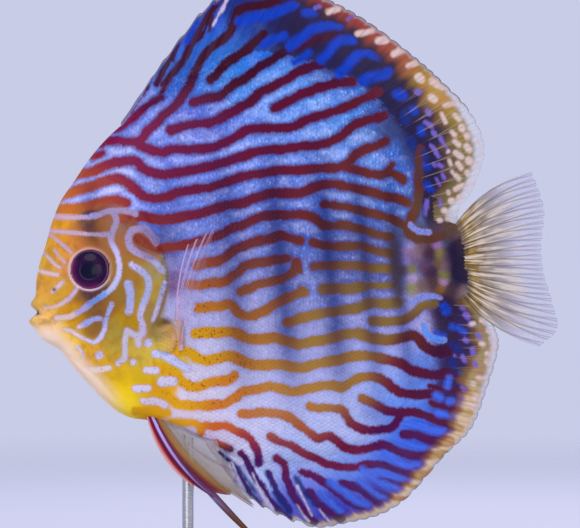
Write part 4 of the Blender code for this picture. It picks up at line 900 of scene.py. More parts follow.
def rgba(*colour):
    return (*linear(colour), 1.0)


PALE_EDGE = rgba(166, 136, 148)
BLUE_LINE = rgba(0, 52, 168)
LOW_BLUE = rgba(60, 98, 212)
NAVY_SPOT = rgba(18, 40, 118)
VIOLET_SPOT = rgba(112, 92, 186)
CREAM_SPOT = rgba(214, 190, 186)
DEEP_BLUE = rgba(38, 98, 196)
PALE_BLUE = rgba(186, 196, 240)
RUST = rgba(128, 40, 26)
FRINGE = rgba(44, 52, 140)
LOW_FRINGE = rgba(96, 116, 220)
SPECK = rgba(52, 44, 84)


def marked_colour(finish, wobble, streak, light):
    """The fish's colour from the depths and colours stored on the mesh; streak and light vary it finely."""
    dark = finish.read("dark") + wobble
    pale = finish.read("pale") + wobble * 0.8
    vivid = finish.read("vivid")
    patches = finish.noise(finish.place((1.0, 1.0, 1.4)), 190.0, 2.0)
    low = finish.read("low")
    ground = finish.mix(patches.step(0.48, 0.68) * (vivid * (1.0 - low)) * 0.34, finish.colour("ground"), DEEP_BLUE)
    ground = finish.mix((1.0 - patches.step(0.34, 0.54)) * vivid * 0.22, ground, PALE_BLUE)
    ground = finish.mix(streak.step(0.52, 0.76) * vivid * 0.2, ground, PALE_BLUE)
    ground = finish.lit(ground, 1.0 + (streak - 0.5) * vivid * 0.9)
    fringe = finish.mix(low, FRINGE, LOW_FRINGE)
    ground = finish.mix(dark.step(-1.3, -0.1) * vivid * 0.55, ground, fringe)
    fine = finish.lit(ground, light * (1.0 - low * 0.5) + low * 0.46)
    band = finish.lit(finish.colour("stripe"), light * 0.25 + 0.75)
    flecks = finish.noise(finish.place((1.0, 1.0, 0.6)), 1500.0, 1.0).step(0.58, 0.68) * finish.read("rusty")
    band = finish.mix(flecks * 0.65, band, RUST)
    colour = finish.mix(dark.step(-0.46, 0.44), fine, band)
    bright = finish.mix(low, BLUE_LINE, LOW_BLUE)
    colour = finish.mix((finish.read("blue") + wobble).step(-1.0, 0.7), colour, finish.lit(bright, light * 2.2 - 1.15))
    colour = finish.mix((finish.read("navy") + wobble).step(-0.8, 0.5) * 0.85, colour, NAVY_SPOT)
    colour = finish.mix((finish.read("violet") + wobble).step(-0.5, 0.4) * 0.9, colour, VIOLET_SPOT)
    line = finish.lit(finish.colour("line"), light * 0.6 + 0.42)
    line = finish.mix(pale.step(-0.3, 0.4) * 0.75 + 0.25, PALE_EDGE, line)
    specks = finish.noise(finish.place(), 1700.0, 1.0).step(0.6, 0.68) * finish.read("specked") * 0.4
    line = finish.mix(specks, line, SPECK)
    colour = finish.mix(pale.step(-0.45, 0.25) * 0.94, colour, line)
    return finish.mix((finish.read("cream") + wobble * 0.5).step(-0.55, 0.45) * 0.88, colour, CREAM_SPOT)


def edge_wobble(finish):
    """How the markings' edges wander, in millimetres: slowly, and finely from scale to scale."""
    slow = finish.noise(finish.place(), 330.0, 2.0) - 0.5
    quick = finish.noise(finish.place((1.3, 1.0, 0.55)), 1400.0, 2.0) - 0.5
    return slow * 1.3 + quick * 0.8


def skin_finish():
    """Wet, slightly glossy skin with the markings, pores on the bare face and fine silvery grain."""
    finish = Finish("fish_skin", Specular_IOR_Level=0.06, Coat_Roughness=0.12, Coat_IOR=1.3)
    wobble = edge_wobble(finish)
    grain = finish.noise(finish.place((1.0, 1.0, 0.45)), 2600.0, 2.0)
    mottle = finish.noise(finish.place(), 260.0, 3.0)
    light = 0.84 + grain * 0.2 + mottle * 0.22
    colour = marked_colour(finish, wobble, grain, light)
    blotches = finish.noise(finish.place(), 330.0, 3.0).step(0.44, 0.66) * finish.read("faced")
    colour = finish.mix(blotches * 0.4, colour, rgba(146, 98, 34))
    colour = finish.mix(finish.read("chin"), colour, rgba(246, 220, 194))
    rim = finish.read("rim")
    colour = finish.mix(rim, colour, rgba(236, 205, 222))
    colour = finish.mix(finish.read("lips") * 0.7, colour, rgba(226, 186, 138))
    colour = finish.mix(finish.read("shadow"), colour, rgba(58, 30, 26))
    pores = finish.noise(finish.place(), 3300.0, 2.0)
    bump = finish.add(
        "ShaderNodeBump", {}, {"Height": pores * 0.5 + mottle, "Strength": 0.35, "Distance": 0.00012}
    )
    rough = 0.3 + pores * 0.16
    return finish.feed(Base_Color=colour, Roughness=rough, Normal=bump, Coat_Weight=0.14 - pores * 0.1)


SKIN = skin_finish()
bm = bmesh.new()
bmesh.ops.create_uvsphere(bm, u_segments=SKIN_COLUMNS, v_segments=SKIN_ROWS + 1, radius=1.0)
ball = np.array([vert.co[:] for vert in bm.verts])
latitude = np.abs(np.arcsin(np.clip(ball[:, 2], -1.0, 1.0)))
row = np.round(latitude / math.pi * (SKIN_ROWS + 1)).astype(int)
column = np.round(np.arctan2(ball[:, 1], ball[:, 0]) / math.tau * SKIN_COLUMNS).astype(int) % SKIN_COLUMNS
ROUNDING = 5  # rows that turn round the edge
rows_left = (SKIN_ROWS + 1) // 2 - ROUNDING
inward = np.clip((row - ROUNDING) / rows_left, 0.0, 1.0)
share = 1.0 - inward**1.3
angle = column_angles(SKIN_COLUMNS)[column]
angle = np.where(share < 1e-6, 0.0, angle)
turn = np.clip(row / ROUNDING, 0.0, 1.0) * math.pi / 2
edge_half = SECTION(angle % TURN)[:, 0]
reach = inner_reach(angle, share) - 0.12 * share - 0.4 * edge_half * (1.0 - np.cos(turn)) * share**24
x = CENTRE_X + reach * np.cos(np.radians(angle))
z = CENTRE_Z + reach * np.sin(np.radians(angle))
depth = COAT_DEPTH + (BARE_DEPTH - COAT_DEPTH) * bareness(x, z)
half = (half_thickness(angle, share) + relief(x, z) - depth) * np.sin(turn)
side = np.where(ball[:, 2] > 0.0, -1.0, 1.0)
for vert, spot in zip(bm.verts, np.stack((x, side * half, z), axis=1)):
    vert.co = spot
bmesh.ops.recalc_face_normals(bm, faces=bm.faces)
skin = made(bm, "fish_skin", SKIN, ("head", "trunk", "tail_stalk"))
values = markings(x, z, side)
eye_far = np.hypot(x - EYE_X, z - EYE_Z)
below = 0.5 + 0.5 * np.clip((EYE_Z - z + (EYE_X - x)) / 6.0, -1.0, 1.0)
face = smooth(inside(x, z, FACE_REGION), -0.6, 0.6)
values["faced"] = face * (1.0 - np.clip(strokes(x, z, PALE) + 0.4, 0.0, 1.0)) * smooth(z, 47.0, 66.0)
values["chin"] = 0.9 * smooth(share, 0.88, 0.97) * smooth(-x, 46.0, 56.0) * (1.0 - smooth(z, 69.0, 73.0))
values["rim"] = near(eye_far, EYE_RADIUS + 0.42, 0.42) * (0.35 + 0.65 * below)
mouth_far, mouth_along = along(x, z, (MOUTH_NOTCH, (-71.6, 74.9), MOUTH_CORNER))
values["lips"] = near(np.maximum(mouth_far - 0.4, 0.0), 0.0, 0.8) * smooth(-x, 69.5, 72.0)
eye_pit = 1.0 - smooth(eye_far, EYE_RADIUS - 0.5, EYE_RADIUS + 0.05)
nostril = near(np.hypot(x - NOSTRIL[0], z - NOSTRIL[1]), 0.0, 0.5)
gill_line = 0.4 * near(behind_gill(x, z), -0.35, 0.4) * smooth(z, 73.0, 80.0) * (1.0 - smooth(z, 92.0, 100.0))
notch = 0.9 * near(along(x, z, ((-75.0, 75.7), (-72.6, 75.3)))[0], 0.0, 0.6)
crease = 0.25 * near(along(x, z, ((-71.9, 72.1), (-69.2, 72.4)))[0], 0.0, 0.4)
mouth_line = 0.5 * near(mouth_far, 0.0, 0.3) * smooth(-x, 70.6, 72.2) + notch + crease
values["shadow"] = np.clip(eye_pit + nostril + mouth_line + gill_line, 0.0, 1.0)
keep(skin.data, values)

# The coat of scales starts behind the face and runs over the flanks to the tail stalk. Each scale is
# a thin rounded plate sunk in the skin at its front, free at its rear, and overlaps the ones behind.
# They are joined meshes, one for each quarter of the coat.
SCALE_PITCH = 0.98
SCALE_ROW = 1.12
SCALE_LENGTH = 1.95
SCALE_HALF_WIDTH = 0.64
SCALE_LIFT = 0.08
COAT_SPLIT_X = -5.0
FOOT_HALF = 0.3
random_scale = np.random.default_rng(4)


def scale_finish():
    """A clear plate over the same markings; its tone differs at random from scale to scale, and a painted sheen makes
    it lighter along its free edge.
    """
    finish = Finish("scales", Specular_IOR_Level=0.06, Coat_Roughness=0.12, Coat_IOR=1.3)
    tone = finish.read("tone")
    wobble = edge_wobble(finish) + (tone - 0.5) * 0.25
    grain = finish.noise(finish.place((1.5, 1.0, 0.7)), 1250.0, 2.0)
    light = 0.78 + tone * 0.3 + grain * 0.2
    colour = marked_colour(finish, wobble, grain + (tone - 0.5) * 0.22, light)
    rings = finish.noise(finish.place(), 5200.0, 1.0)
    bump = finish.add("ShaderNodeBump", {}, {"Height": rings, "Strength": 0.25, "Distance": 0.00006})
    return finish.feed(
        Base_Color=colour, Roughness=0.26 + grain * 0.18, Normal=bump, Coat_Weight=0.12 - rings * 0.08
    )


def unwrapped(x, z, side):
    """Where a place lies on an unwrap of the skin: each flank rolled out flat from its middle."""
    steps = np.linspace(0.0, 1.0, 60)
    angle = direction(x, z)
    share = share_at(x, z)
    long = np.zeros(np.shape(x))
    last = None
    for step in steps:
        reach = inner_reach(angle, share * step)
        half = half_thickness(angle, share * step)
        if last is not None:
            long += np.hypot(reach - last[0], half - last[1])
        last = (reach, half)
    turned = np.radians(angle)
    u = np.where(side < 0, 0.25, 0.75) - side * long * np.cos(turned) * 0.0036
    return u, 0.5 + long * np.sin(turned) * 0.0036


def sheath(angle):
    """How far the coat runs out beyond the body's edge, over the fleshy foot of the fins."""
    dorsal = smooth(angle, 14.0, 20.0) * (1.0 - smooth(angle, 118.0, 127.0)) * (1.0 + smooth(100.0 - angle, 0.0, 12.0))
    anal = smooth(angle, 264.0, 270.0) * (1.0 - smooth(angle, 341.0, 347.0)) * (1.0 + smooth(angle, 279.0, 290.0))
    return 1.9 * (dorsal + anal) - 0.7 * (1.0 - np.minimum(dorsal + anal, 1.0))


def coat_half(x, z):
    """The half-thickness that the coat lies on: the body's, and beyond its edge the fins'."""
    angle = direction(x, z) % TURN
    beyond = np.hypot(x - CENTRE_X, z - CENTRE_Z) - OUTLINE_REACH(angle)[:, 0]
    foot = FOOT_HALF + (SECTION(angle)[:, 0] - FOOT_HALF) * np.exp(-np.maximum(beyond, 0.0) / 3.6)
    return np.where(beyond > 0.0, foot, surface_half(x, z))


bm = bmesh.new()
bmesh.ops.create_grid(bm, x_segments=4, y_segments=4, size=1.0)
bmesh.ops.triangulate(bm, faces=bm.faces)
plate = bpy.data.meshes.new("one_scale")
bm.to_mesh(plate)
bm.free()
flat = np.zeros(len(plate.vertices) * 3)
plate.vertices.foreach_get("co", flat)
flat = flat.reshape(-1, 3)
corners = np.zeros(len(plate.loops), int)
plate.loops.foreach_get("vertex_index", corners)
bpy.data.meshes.remove(plate)
ahead = flat[:, 0]
aside = flat[:, 1]
plate_long = Curve((-1.0, -0.5, 0.0, 0.5, 1.0), (-1.0, -0.35, 0.3, 0.86, 1.0))(ahead)[:, 0]
plate_wide = Curve((-1.0, -0.5, 0.0, 0.5, 1.0), (0.6, 0.95, 1.0, 0.86, 0.8))(ahead)[:, 0]
plate_high = Curve((-1.0, -0.5, 0.0, 0.5, 1.0), (-0.25, 0.3, 0.75, 0.95, 0.6))(ahead)[:, 0]
template = np.stack(
    (
        plate_long * 0.5 * SCALE_LENGTH - 0.26 * SCALE_LENGTH * aside**2 * (ahead + 1.0) / 2,
        aside * plate_wide * SCALE_HALF_WIDTH,
        plate_high * SCALE_LIFT - 0.05 * aside**2,
    ),
    axis=1,
)
SCALES = scale_finish()
across, up = np.meshgrid(np.arange(-66.0, 49.0, SCALE_PITCH), np.arange(28.0, 150.0, SCALE_ROW))
up = up + (np.round((across + 66.0) / SCALE_PITCH) % 2) * SCALE_ROW / 2
across = across.ravel()
up = up.ravel()
across = across + random_scale.uniform(-0.09, 0.09, across.size)
up = up + random_scale.uniform(-0.07, 0.07, up.size)
out_share = share_at(across, up)
reach = np.hypot(across - CENTRE_X, up - CENTRE_Z)
edge_reach = OUTLINE_REACH(direction(across, up))[:, 0]
ragged = random_scale.uniform(0.15, 0.85, across.size)
kept = (reach < edge_reach + sheath(direction(across, up) % TURN)) & (bareness(across, up) < ragged)
across = across[kept]
up = up[kept]
for side, word in ((-1.0, "left"), (1.0, "right")):
    for front in (True, False):
        chosen = (across < COAT_SPLIT_X) == front
        x = across[chosen]
        z = up[chosen]
        high = coat_half(x, z) - COAT_DEPTH
        slope_x = (coat_half(x + 0.3, z) - coat_half(x - 0.3, z)) / 0.6
        slope_z = (coat_half(x, z + 0.3) - coat_half(x, z - 0.3)) / 0.6
        lean = -(z - CENTRE_Z) * (x - CENTRE_X) / 2500.0
        normal = np.stack((-slope_x, np.full(len(x), side), -slope_z), axis=1)
        normal /= np.linalg.norm(normal, axis=1)[:, None]
        ahead_way = np.stack((np.ones(len(x)), side * (slope_x + slope_z * lean), lean), axis=1)
        ahead_way /= np.linalg.norm(ahead_way, axis=1)[:, None]
        side_way = np.cross(normal, ahead_way)
        size = random_scale.uniform(0.93, 1.07, len(x))
        base = np.stack((x, side * high, z), axis=1)
        spots = (
            base[:, None, :]
            + ahead_way[:, None, :] * (template[:, 0] * 1.0)[None, :, None] * size[:, None, None]
            + side_way[:, None, :] * template[:, 1][None, :, None] * size[:, None, None]
            + normal[:, None, :] * template[:, 2][None, :, None]
        )
        mesh = bpy.data.meshes.new(f"scales_{word}")
        count = len(flat)
        mesh.vertices.add(len(x) * count)
        mesh.vertices.foreach_set("co", (spots * MM).astype(np.float32).ravel())
        order = corners if side > 0 else corners.reshape(-1, 3)[:, ::-1].ravel()
        index = (np.arange(len(x))[:, None] * count + order[None, :]).ravel()
        mesh.loops.add(len(index))
        mesh.loops.foreach_set("vertex_index", index)
        mesh.polygons.add(len(index) // 3)
        mesh.polygons.foreach_set("loop_start", np.arange(0, len(index), 3))
        mesh.update(calc_edges=True)
        mesh.validate()
        mesh.materials.append(SCALES)
        mesh.shade_smooth()
        u, v = unwrapped(x, z, side)
        patch = np.stack((u[:, None] + ahead * 0.0014, v[:, None] + aside * 0.0014), axis=2).reshape(-1, 2)
        layer = mesh.uv_layers.new(name="OFBake")
        layer.data.foreach_set("uv", patch[index].astype(np.float32).ravel())
        piece = bpy.data.objects.new(f"scales_{word}_{'front' if front else 'rear'}", mesh)
        bpy.context.collection.objects.link(piece)
        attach(piece, "root")
        found = markings(spots[:, :, 0].ravel(), spots[:, :, 2].ravel(), np.full(len(x) * count, side))
        own = random_scale.uniform(0.0, 1.0, len(x))
        # tone: half a random share per scale, half painted sheen that grows toward each scale's free edge
        found["tone"] = (own[:, None] * 0.5 + smooth(ahead, -0.2, 0.9)[None, :] * 0.5).ravel()
        keep(mesh, found)

# The eyes are cast apart and set in their sockets: a dark violet iris round a black pupil, with a thin
# silvery ring, under a clear bulging cornea.
EYE_RISE = 1.7
EYE_SUNK = 1.6
PUPIL_RADIUS = 2.35


def eye_finish():
    finish = Finish("eye", Roughness=0.3, Specular_IOR_Level=0.04, Coat_Weight=0.35, Coat_Roughness=0.03, Coat_IOR=1.25)
    far = finish.read("far")
    turned = finish.read("turned")
    streaks = finish.noise(finish.add("ShaderNodeCombineXYZ", {}, {0: turned * 4.0, 1: far * 0.5}), 3.0, 3.0)
    mottle = finish.noise(finish.place(), 900.0, 2.0)
    iris = finish.mix(far.step(3.0, 5.2), rgba(34, 8, 52), rgba(14, 10, 44))
    iris = finish.mix((streaks - 0.5) * 1.4, iris, rgba(104, 14, 78))
    iris = finish.mix((mottle - 0.5) * 0.6, iris, rgba(26, 20, 70))
    iris = finish.mix(far.step(3.2, 5.0) * finish.read("lower") * 0.55, iris, rgba(120, 22, 92))
    ring = (far.step(2.3, 2.5) - far.step(2.55, 2.85)) * finish.read("lower") * 0.4
    iris = finish.mix(ring, iris, rgba(120, 106, 140))
    colour = finish.mix(far.step(PUPIL_RADIUS - 0.2, PUPIL_RADIUS + 0.7), rgba(10, 9, 40), iris)
    colour = finish.mix(far.step(5.0, 5.25) * 0.7, colour, rgba(150, 90, 140))
    return finish.feed(Base_Color=colour)


EYE = eye_finish()
eye_half = float(surface_half(np.array([EYE_X]), np.array([EYE_Z + 7.0]))[0] * 0.5
                 + surface_half(np.array([EYE_X]), np.array([EYE_Z - 7.0]))[0] * 0.5)
cad_eye_low, cad_eye_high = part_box("eye_left")
eye_reach = -cad_eye_low.y / MM
for hand, word in ((-1, "left"), (1, "right")):
    outward = Vector((-EYE_FORWARD, hand, 0.04)).normalized()
    lean = outward.to_track_quat("Z", "Y").to_matrix().to_4x4()
    centre = Vector((EYE_X, hand * (eye_reach - EYE_RISE * 0.97), EYE_Z))
    bm = bmesh.new()
    arc = [(EYE_RADIUS * math.sin(math.radians(step * 4.5)), EYE_RISE * math.cos(math.radians(step * 4.5)))
           for step in range(21)]
    profile = [*arc, (EYE_RADIUS - 0.1, -EYE_SUNK), (0.0, -EYE_SUNK)]
    verts = [bm.verts.new((radius, 0.0, height)) for radius, height in profile]
    edges = [bm.edges.new(pair) for pair in zip(verts, verts[1:])]
    bmesh.ops.spin(bm, geom=verts + edges, cent=(0, 0, 0), axis=(0, 0, 1), angle=math.tau, steps=72, use_merge=True)
    bmesh.ops.remove_doubles(bm, verts=bm.verts, dist=0.0005)
    bmesh.ops.recalc_face_normals(bm, faces=bm.faces)
    round_eye = np.array([vert.co[:] for vert in bm.verts])
    bmesh.ops.transform(bm, matrix=Matrix.Translation(centre) @ lean, verts=bm.verts)
    eye = made(bm, f"eye_ball_{word}", EYE, (f"eye_{word}",))
    offset = places(eye.data)
    far = np.hypot(offset[:, 0] - EYE_X + 0.25, offset[:, 2] - EYE_Z + 0.3)
    rim_far = np.hypot(round_eye[:, 0], round_eye[:, 1])
    keep(eye.data, {
        "far": np.where(rim_far > 4.6, rim_far, far),
        "turned": np.arctan2(round_eye[:, 1], round_eye[:, 0]),
        "lower": smooth(EYE_Z - offset[:, 2] + EYE_X - offset[:, 0], 0.0, 3.0),
    })

# The dorsal and anal fins stand on the body's edge: stiff spines in front, then soft rays that branch
# toward the edge, joined by a thin membrane that turns clear at its margin. The stripes run out on them.
DORSAL_TIPS = (
    (10.0, 48.4, 98.8), (12.1, 46.8, 102.2), (17.8, 50.9, 110.1), (25.4, 54.3, 120.9), (35.5, 49.5, 133.4), (42.4, 43.0, 140.2),
    (55.4, 33.1, 149.0), (65.0, 22.3, 157.2), (76.9, 9.8, 164.3), (88.5, -2.4, 168.3), (99.0, -14.3, 168.8),
    (107.9, -23.4, 163.7), (118.1, -36.4, 147.6), (124.5, -42.1, 139.3), (130.7, -48.9, 129.1),
)
ANAL_TIPS = (
    (260.5, -24.5, 37.3), (266.0, -16.0, 25.9), (272.9, -6.1, 18.5), (279.9, 5.8, 14.3), (286.6, 14.6, 15.4),
    (300.3, 31.1, 21.7), (309.8, 43.0, 34.7), (318.1, 50.4, 42.1), (327.5, 54.9, 53.4), (336.5, 58.3, 65.9),
    (344.3, 57.0, 71.4), (349.4, 54.0, 78.0), (351.2, 50.8, 81.4),
)
DORSAL_MARGIN = (  # direction, depth of the tinted margin, depth of the clear edge, tint
    (10.0, 13.5, 3.2, (112, 98, 66)), (25.0, 13.0, 3.0, (124, 104, 52)), (35.0, 11.0, 2.4, (150, 122, 46)),
    (42.0, 9.5, 0.8, (176, 132, 58)), (47.0, 8.5, 0.3, (164, 128, 42)), (54.0, 7.2, 0.3, (158, 88, 52)),
    (65.0, 5.6, 0.2, (144, 60, 50)), (80.0, 3.6, 0.2, (122, 40, 42)), (92.0, 2.4, 0.2, (98, 22, 42)),
    (104.0, 1.6, 0.2, (84, 16, 50)),
    (131.0, 1.2, 0.2, (60, 16, 52)),
)
ANAL_MARGIN = (
    (260.0, 1.2, 0.8, (110, 108, 140)), (273.0, 1.4, 0.6, (90, 84, 130)), (285.0, 2.4, 0.4, (110, 92, 110)),
    (300.0, 3.0, 0.3, (170, 126, 84)), (312.0, 4.5, 0.3, (180, 142, 98)), (322.0, 6.6, 0.8, (186, 152, 106)),
    (332.0, 7.8, 1.6, (160, 134, 92)), (342.0, 7.4, 2.2, (140, 120, 84)), (351.2, 6.6, 1.8, (130, 108, 74)),
)
MEMBRANE_HALF = 0.2
EDGE_HALF = 0.12


def fin_finish(name, body_alpha, line_tint, gold=None):
    """A membrane with its markings, the lines of its branching rays, and a clear margin."""
    finish = Finish(name, Specular_IOR_Level=0.08, Coat_Roughness=0.12, Coat_IOR=1.3)
    wobble = edge_wobble(finish)
    ray = finish.read("ray")
    out = finish.read("out")
    streak = finish.noise(finish.add("ShaderNodeCombineXYZ", {}, {0: ray * 5.0, 1: out * 3.0}), 1.0, 2.0)
    grain = finish.noise(finish.place(), 1800.0, 2.0)
    light = 0.72 + streak * 0.36 + grain * 0.2
    colour = marked_colour(finish, wobble, grain, light)
    ray_far = (ray + 0.5).maths("FRACT") - 0.5
    first_fork = out.step(0.3, 1.0) * 0.25
    second_fork = out.step(0.62, 1.25) * 0.14
    fork = (ray_far.maths("ABSOLUTE") - first_fork).maths("ABSOLUTE")
    fork = (fork - second_fork).maths("ABSOLUTE")
    thin = 0.075 - out * 0.03
    line = 1.0 - (fork / thin).step(0.4, 1.0)
    bands = finish.noise(finish.add("ShaderNodeCombineXYZ", {}, {0: ray, 1: out * 90.0}), 1.0, 0.0)
    joints = 0.75 + bands * 0.5
    shown = finish.read("rayed")
    tint = finish.mix(finish.read("gilt"), rgba(92, 44, 40), line_tint)
    colour = finish.mix(line * shown * joints, colour, tint)
    colour = finish.mix(finish.read("hem"), colour, rgba(56, 32, 40))
    bump = finish.add(
        "ShaderNodeBump", {}, {"Height": line + grain * 0.3, "Strength": 0.5, "Distance": 0.00012}
    )
    alpha = finish.read("body") * body_alpha + line * shown * 0.4
    return finish.feed(
        Base_Color=colour, Roughness=0.3 + grain * 0.2, Alpha=alpha.maths("MINIMUM", 1.0), Normal=bump,
        Coat_Weight=0.14 - grain * 0.1,
    )


def web(name, finish, replaced, rays, per_ray, rows, spot, values):
    """A fin: a thin slab with columns between its rays; spot places each vertex, values gives what it stores."""
    columns = per_ray * (rays - 1)
    bm = bmesh.new()
    bmesh.ops.create_grid(bm, x_segments=columns, y_segments=rows, size=0.5)
    bmesh.ops.triangulate(bm, faces=bm.faces)
    drawn = bmesh.ops.extrude_face_region(bm, geom=bm.faces[:])["geom"]
    moved = [item for item in drawn if isinstance(item, bmesh.types.BMVert)]
    bmesh.ops.translate(bm, vec=(0.0, 0.0, 1.0), verts=moved)
    plan = np.array([vert.co[:] for vert in bm.verts])
    across = np.round((plan[:, 0] + 0.5) * columns) / columns
    out = np.clip(plan[:, 1] + 0.5, 0.0, 1.0)
    side = np.where(plan[:, 2] > 0.5, 1.0, -1.0)
    ray = across * (rays - 1)
    crest = np.abs(np.cos(math.pi * ray))
    for vert, spot_at in zip(bm.verts, spot(across, out, side, crest)):
        vert.co = spot_at
    bmesh.ops.recalc_face_normals(bm, faces=bm.faces)
    if bm.calc_volume(signed=True) < 0.0:
        bmesh.ops.reverse_faces(bm, faces=bm.faces)
    piece = made(bm, name, finish, replaced)
    found = values(across, out, side, places(piece.data))
    found["ray"] = ray
    found["out"] = out
    keep(piece.data, found)
    return piece


def edge_point(angle, beyond=0.0):
    """A point of the side outline, moved outward."""
    reach = OUTLINE_REACH(angle % TURN)[..., 0] + beyond
    turn = np.radians(angle)
    return CENTRE_X + reach * np.cos(turn), CENTRE_Z + reach * np.sin(turn)


def sway(x, z):
    """A slow wave across the median fins, growing outward from the body."""
    far = np.hypot(x - CENTRE_X, z - CENTRE_Z) - OUTLINE_REACH(direction(x, z))[..., 0]
    return 1.1 * (np.maximum(far, 0.0) / 20.0) ** 1.5 * np.sin(0.11 * x + 0.05 * z)


def median_fin(name, finish, replaced, tips, start, end, rays, per_ray, rows, spiny, margin, bow=(0.0, 0.0)):
    """A length of a median fin, from one direction to another along the body's edge."""
    guide = Curve([tip[0] for tip in tips], [tip[1:] for tip in tips])
    hem = Curve([row[0] for row in margin], [(row[1], row[2], *row[3]) for row in margin], tight=True)
    crest_height = 0.3 if spiny else 0.1
    notch = 0.06 if spiny else 0.02
    ROOT_SUNK = -1.1

    def lengths(across):
        angle = start + (end - start) * across
        root_x, root_z = edge_point(angle, ROOT_SUNK)
        tip = guide(angle)
        return angle, root_x, root_z, tip[..., 0], tip[..., 1]

    def spot(across, out, side, crest):
        angle, root_x, root_z, tip_x, tip_z = lengths(across)
        length = np.hypot(tip_x - root_x, tip_z - root_z)
        ragged = 0.5 + 0.5 * np.sin(17.0 * across * rays) * np.sin(5.3 * across * rays + 1.0)
        reach = out * (1.0 - notch * (1.0 - crest ** (3.0 if spiny else 0.7)) - 0.006 * ragged)
        aside = (bow[1] * across - bow[0] * (1.0 - across)) * 4.0 * reach * (1.0 - reach) / length
        x = root_x + (tip_x - root_x) * reach - (tip_z - root_z) * aside
        z = root_z + (tip_z - root_z) * reach + (tip_x - root_x) * aside
        root_half = SECTION(angle % TURN)[..., 0] - 0.12
        flesh = np.exp(-np.maximum(out * length - 1.0, 0.0) / 3.6)
        half = MEMBRANE_HALF + (EDGE_HALF - MEMBRANE_HALF) * out**3
        half = half + crest_height * crest**8 * (1.0 - out) ** 0.7
        half = half + (np.maximum(root_half, half) - half) * flesh
        return np.stack((x, sway(x, z) + side * half, z), axis=1)

    def values(across, out, side, co):
        angle, root_x, root_z, tip_x, tip_z = lengths(across)
        length = np.hypot(tip_x - root_x, tip_z - root_z)
        left = (1.0 - out) * length
        found = markings(co[:, 0], co[:, 2], side)
        depth, clear, *_ = hem(angle).T
        ray = across * (rays - 1)
        depth = depth * (1.0 + 0.14 * np.sin(ray * 2.4) * np.sin(ray * 0.83 + 1.0) + 0.05 * np.sin(ray * 6.1))
        rear = smooth(angle, 322.0, 330.0)[:, None]
        tint = linear(np.clip(hem(angle)[:, 2:], 0.0, 255.0))
        tinted = smooth(depth - left, -1.6, 1.6)
        thin = smooth(clear - left, -1.2, 0.8)
        shown = tinted[:, None]
        pale = thin[:, None]
        clear_tint = linear((204, 204, 216))
        patch = 0.5 + 0.5 * np.sin(ray * 1.9 + left * 0.8) * np.sin(ray * 0.8 - left * 1.3 + 2.0)
        tint = tint * (1.0 + 0.35 * (patch[:, None] - 0.5) * (-0.6, 0.5, 0.2))
        beyond = out * length + ROOT_SUNK
        deep = smooth(beyond, 0.6, 3.4) * (smooth(angle, 318.0, 330.0) if start < end else 1.0 - smooth(angle, 78.0, 104.0))
        deep = 0.85 * deep[:, None]
        found["ground"] = found["ground"] * (1.0 - deep) + linear((48, 32, 84) if start < end else (30, 22, 60)) * deep
        if start > end:  # dorsal: brown where the margin begins, and no stripes run out on it
            inner = smooth(left, depth * 0.35, depth * 1.05)[:, None]
            tint = tint * (1.0 - inner) + linear((62, 34, 48)) * inner
            found["ground"] = found["ground"] * (1.0 - shown) + tint * shown
            found["dark"] = found["dark"] - 2.5 * tinted
        else:  # anal: the stripes turn to gold on the margin, and the bands between them to pale violet
            outer = smooth(depth * 0.75 - left, -1.0, 1.0)[:, None]
            tint = tint * outer + tint * (0.55, 0.4, 0.3) * (1.0 - outer)
            found["stripe"] = found["stripe"] * (1.0 - shown) + tint * shown
            light = linear((212, 184, 150)) * outer + linear((128, 96, 140)) * (1.0 - outer)
            light = light * (1.0 - rear) + tint * rear
            found["ground"] = found["ground"] * (1.0 - shown) + light * shown
        found["ground"] = found["ground"] * (1.0 - pale) + clear_tint * pale
        found["blue"] = found["blue"] - 2.5 * tinted * (1.0 - smooth(depth, 8.0, 10.0))
        found["vivid"] = found["vivid"] * (1.0 - tinted) * 0.6
        lined = smooth(depth * 1.3 - left, -1.6, 1.6)
        found["gilt"] = smooth(angle, 326.0, 336.0) if start < end else 1.0 - smooth(angle, 40.0, 52.0)
        found["rayed"] = 0.03 + lined * (0.2 + 0.16 * found["gilt"]) * (1.0 - 0.6 * thin)
        found["hem"] = (0.9 if start > end else 0.4) * (1.0 - smooth(left, 0.25, 0.55)) * (1.0 - smooth(clear, 1.8, 3.2))
        found["body"] = 1.0 - 0.6 * thin * (1.0 - found["hem"])
        return found

    return web(name, finish, replaced, rays, per_ray, rows, spot, values)


SPINE_FIN = fin_finish("spiny_fin", 1.0, rgba(70, 40, 90))
SOFT_FIN = fin_finish("soft_fin", 1.0, rgba(164, 150, 134))
median_fin("dorsal_spines", SPINE_FIN, ["dorsal_fin_front"], DORSAL_TIPS, 130.7, 99.0, 9, 26, 44,
           True, DORSAL_MARGIN)
median_fin("dorsal_web", SOFT_FIN, ["dorsal_fin_rear"], DORSAL_TIPS, 99.0, 10.0, 32, 8, 48,
           False, DORSAL_MARGIN)
median_fin("anal_spines", SPINE_FIN, ["anal_fin_front"], ANAL_TIPS, 260.5, 279.0, 8, 16, 40,
           True, ANAL_MARGIN)
median_fin("anal_web", SOFT_FIN, ["anal_fin_rear"], ANAL_TIPS, 279.0, 351.2, 30, 8, 48,
           False, ANAL_MARGIN)

# The tail fin is a fan of soft rays on the end of the stalk, gold at its root and clear beyond, with
# cream streaks between the grey rays.
TAIL_TIPS = (
    (351.6, 69.9, 65.6), (353.1, 74.7, 69.9), (355.6, 73.6, 78.4), (358.5, 71.3, 86.0), (361.7, 70.5, 94.0),
    (365.5, 71.3, 105.0), (369.4, 67.9, 115.4),
)
TAIL_BOW = (2.2, 2.6)
TAIL_RAYS = 17


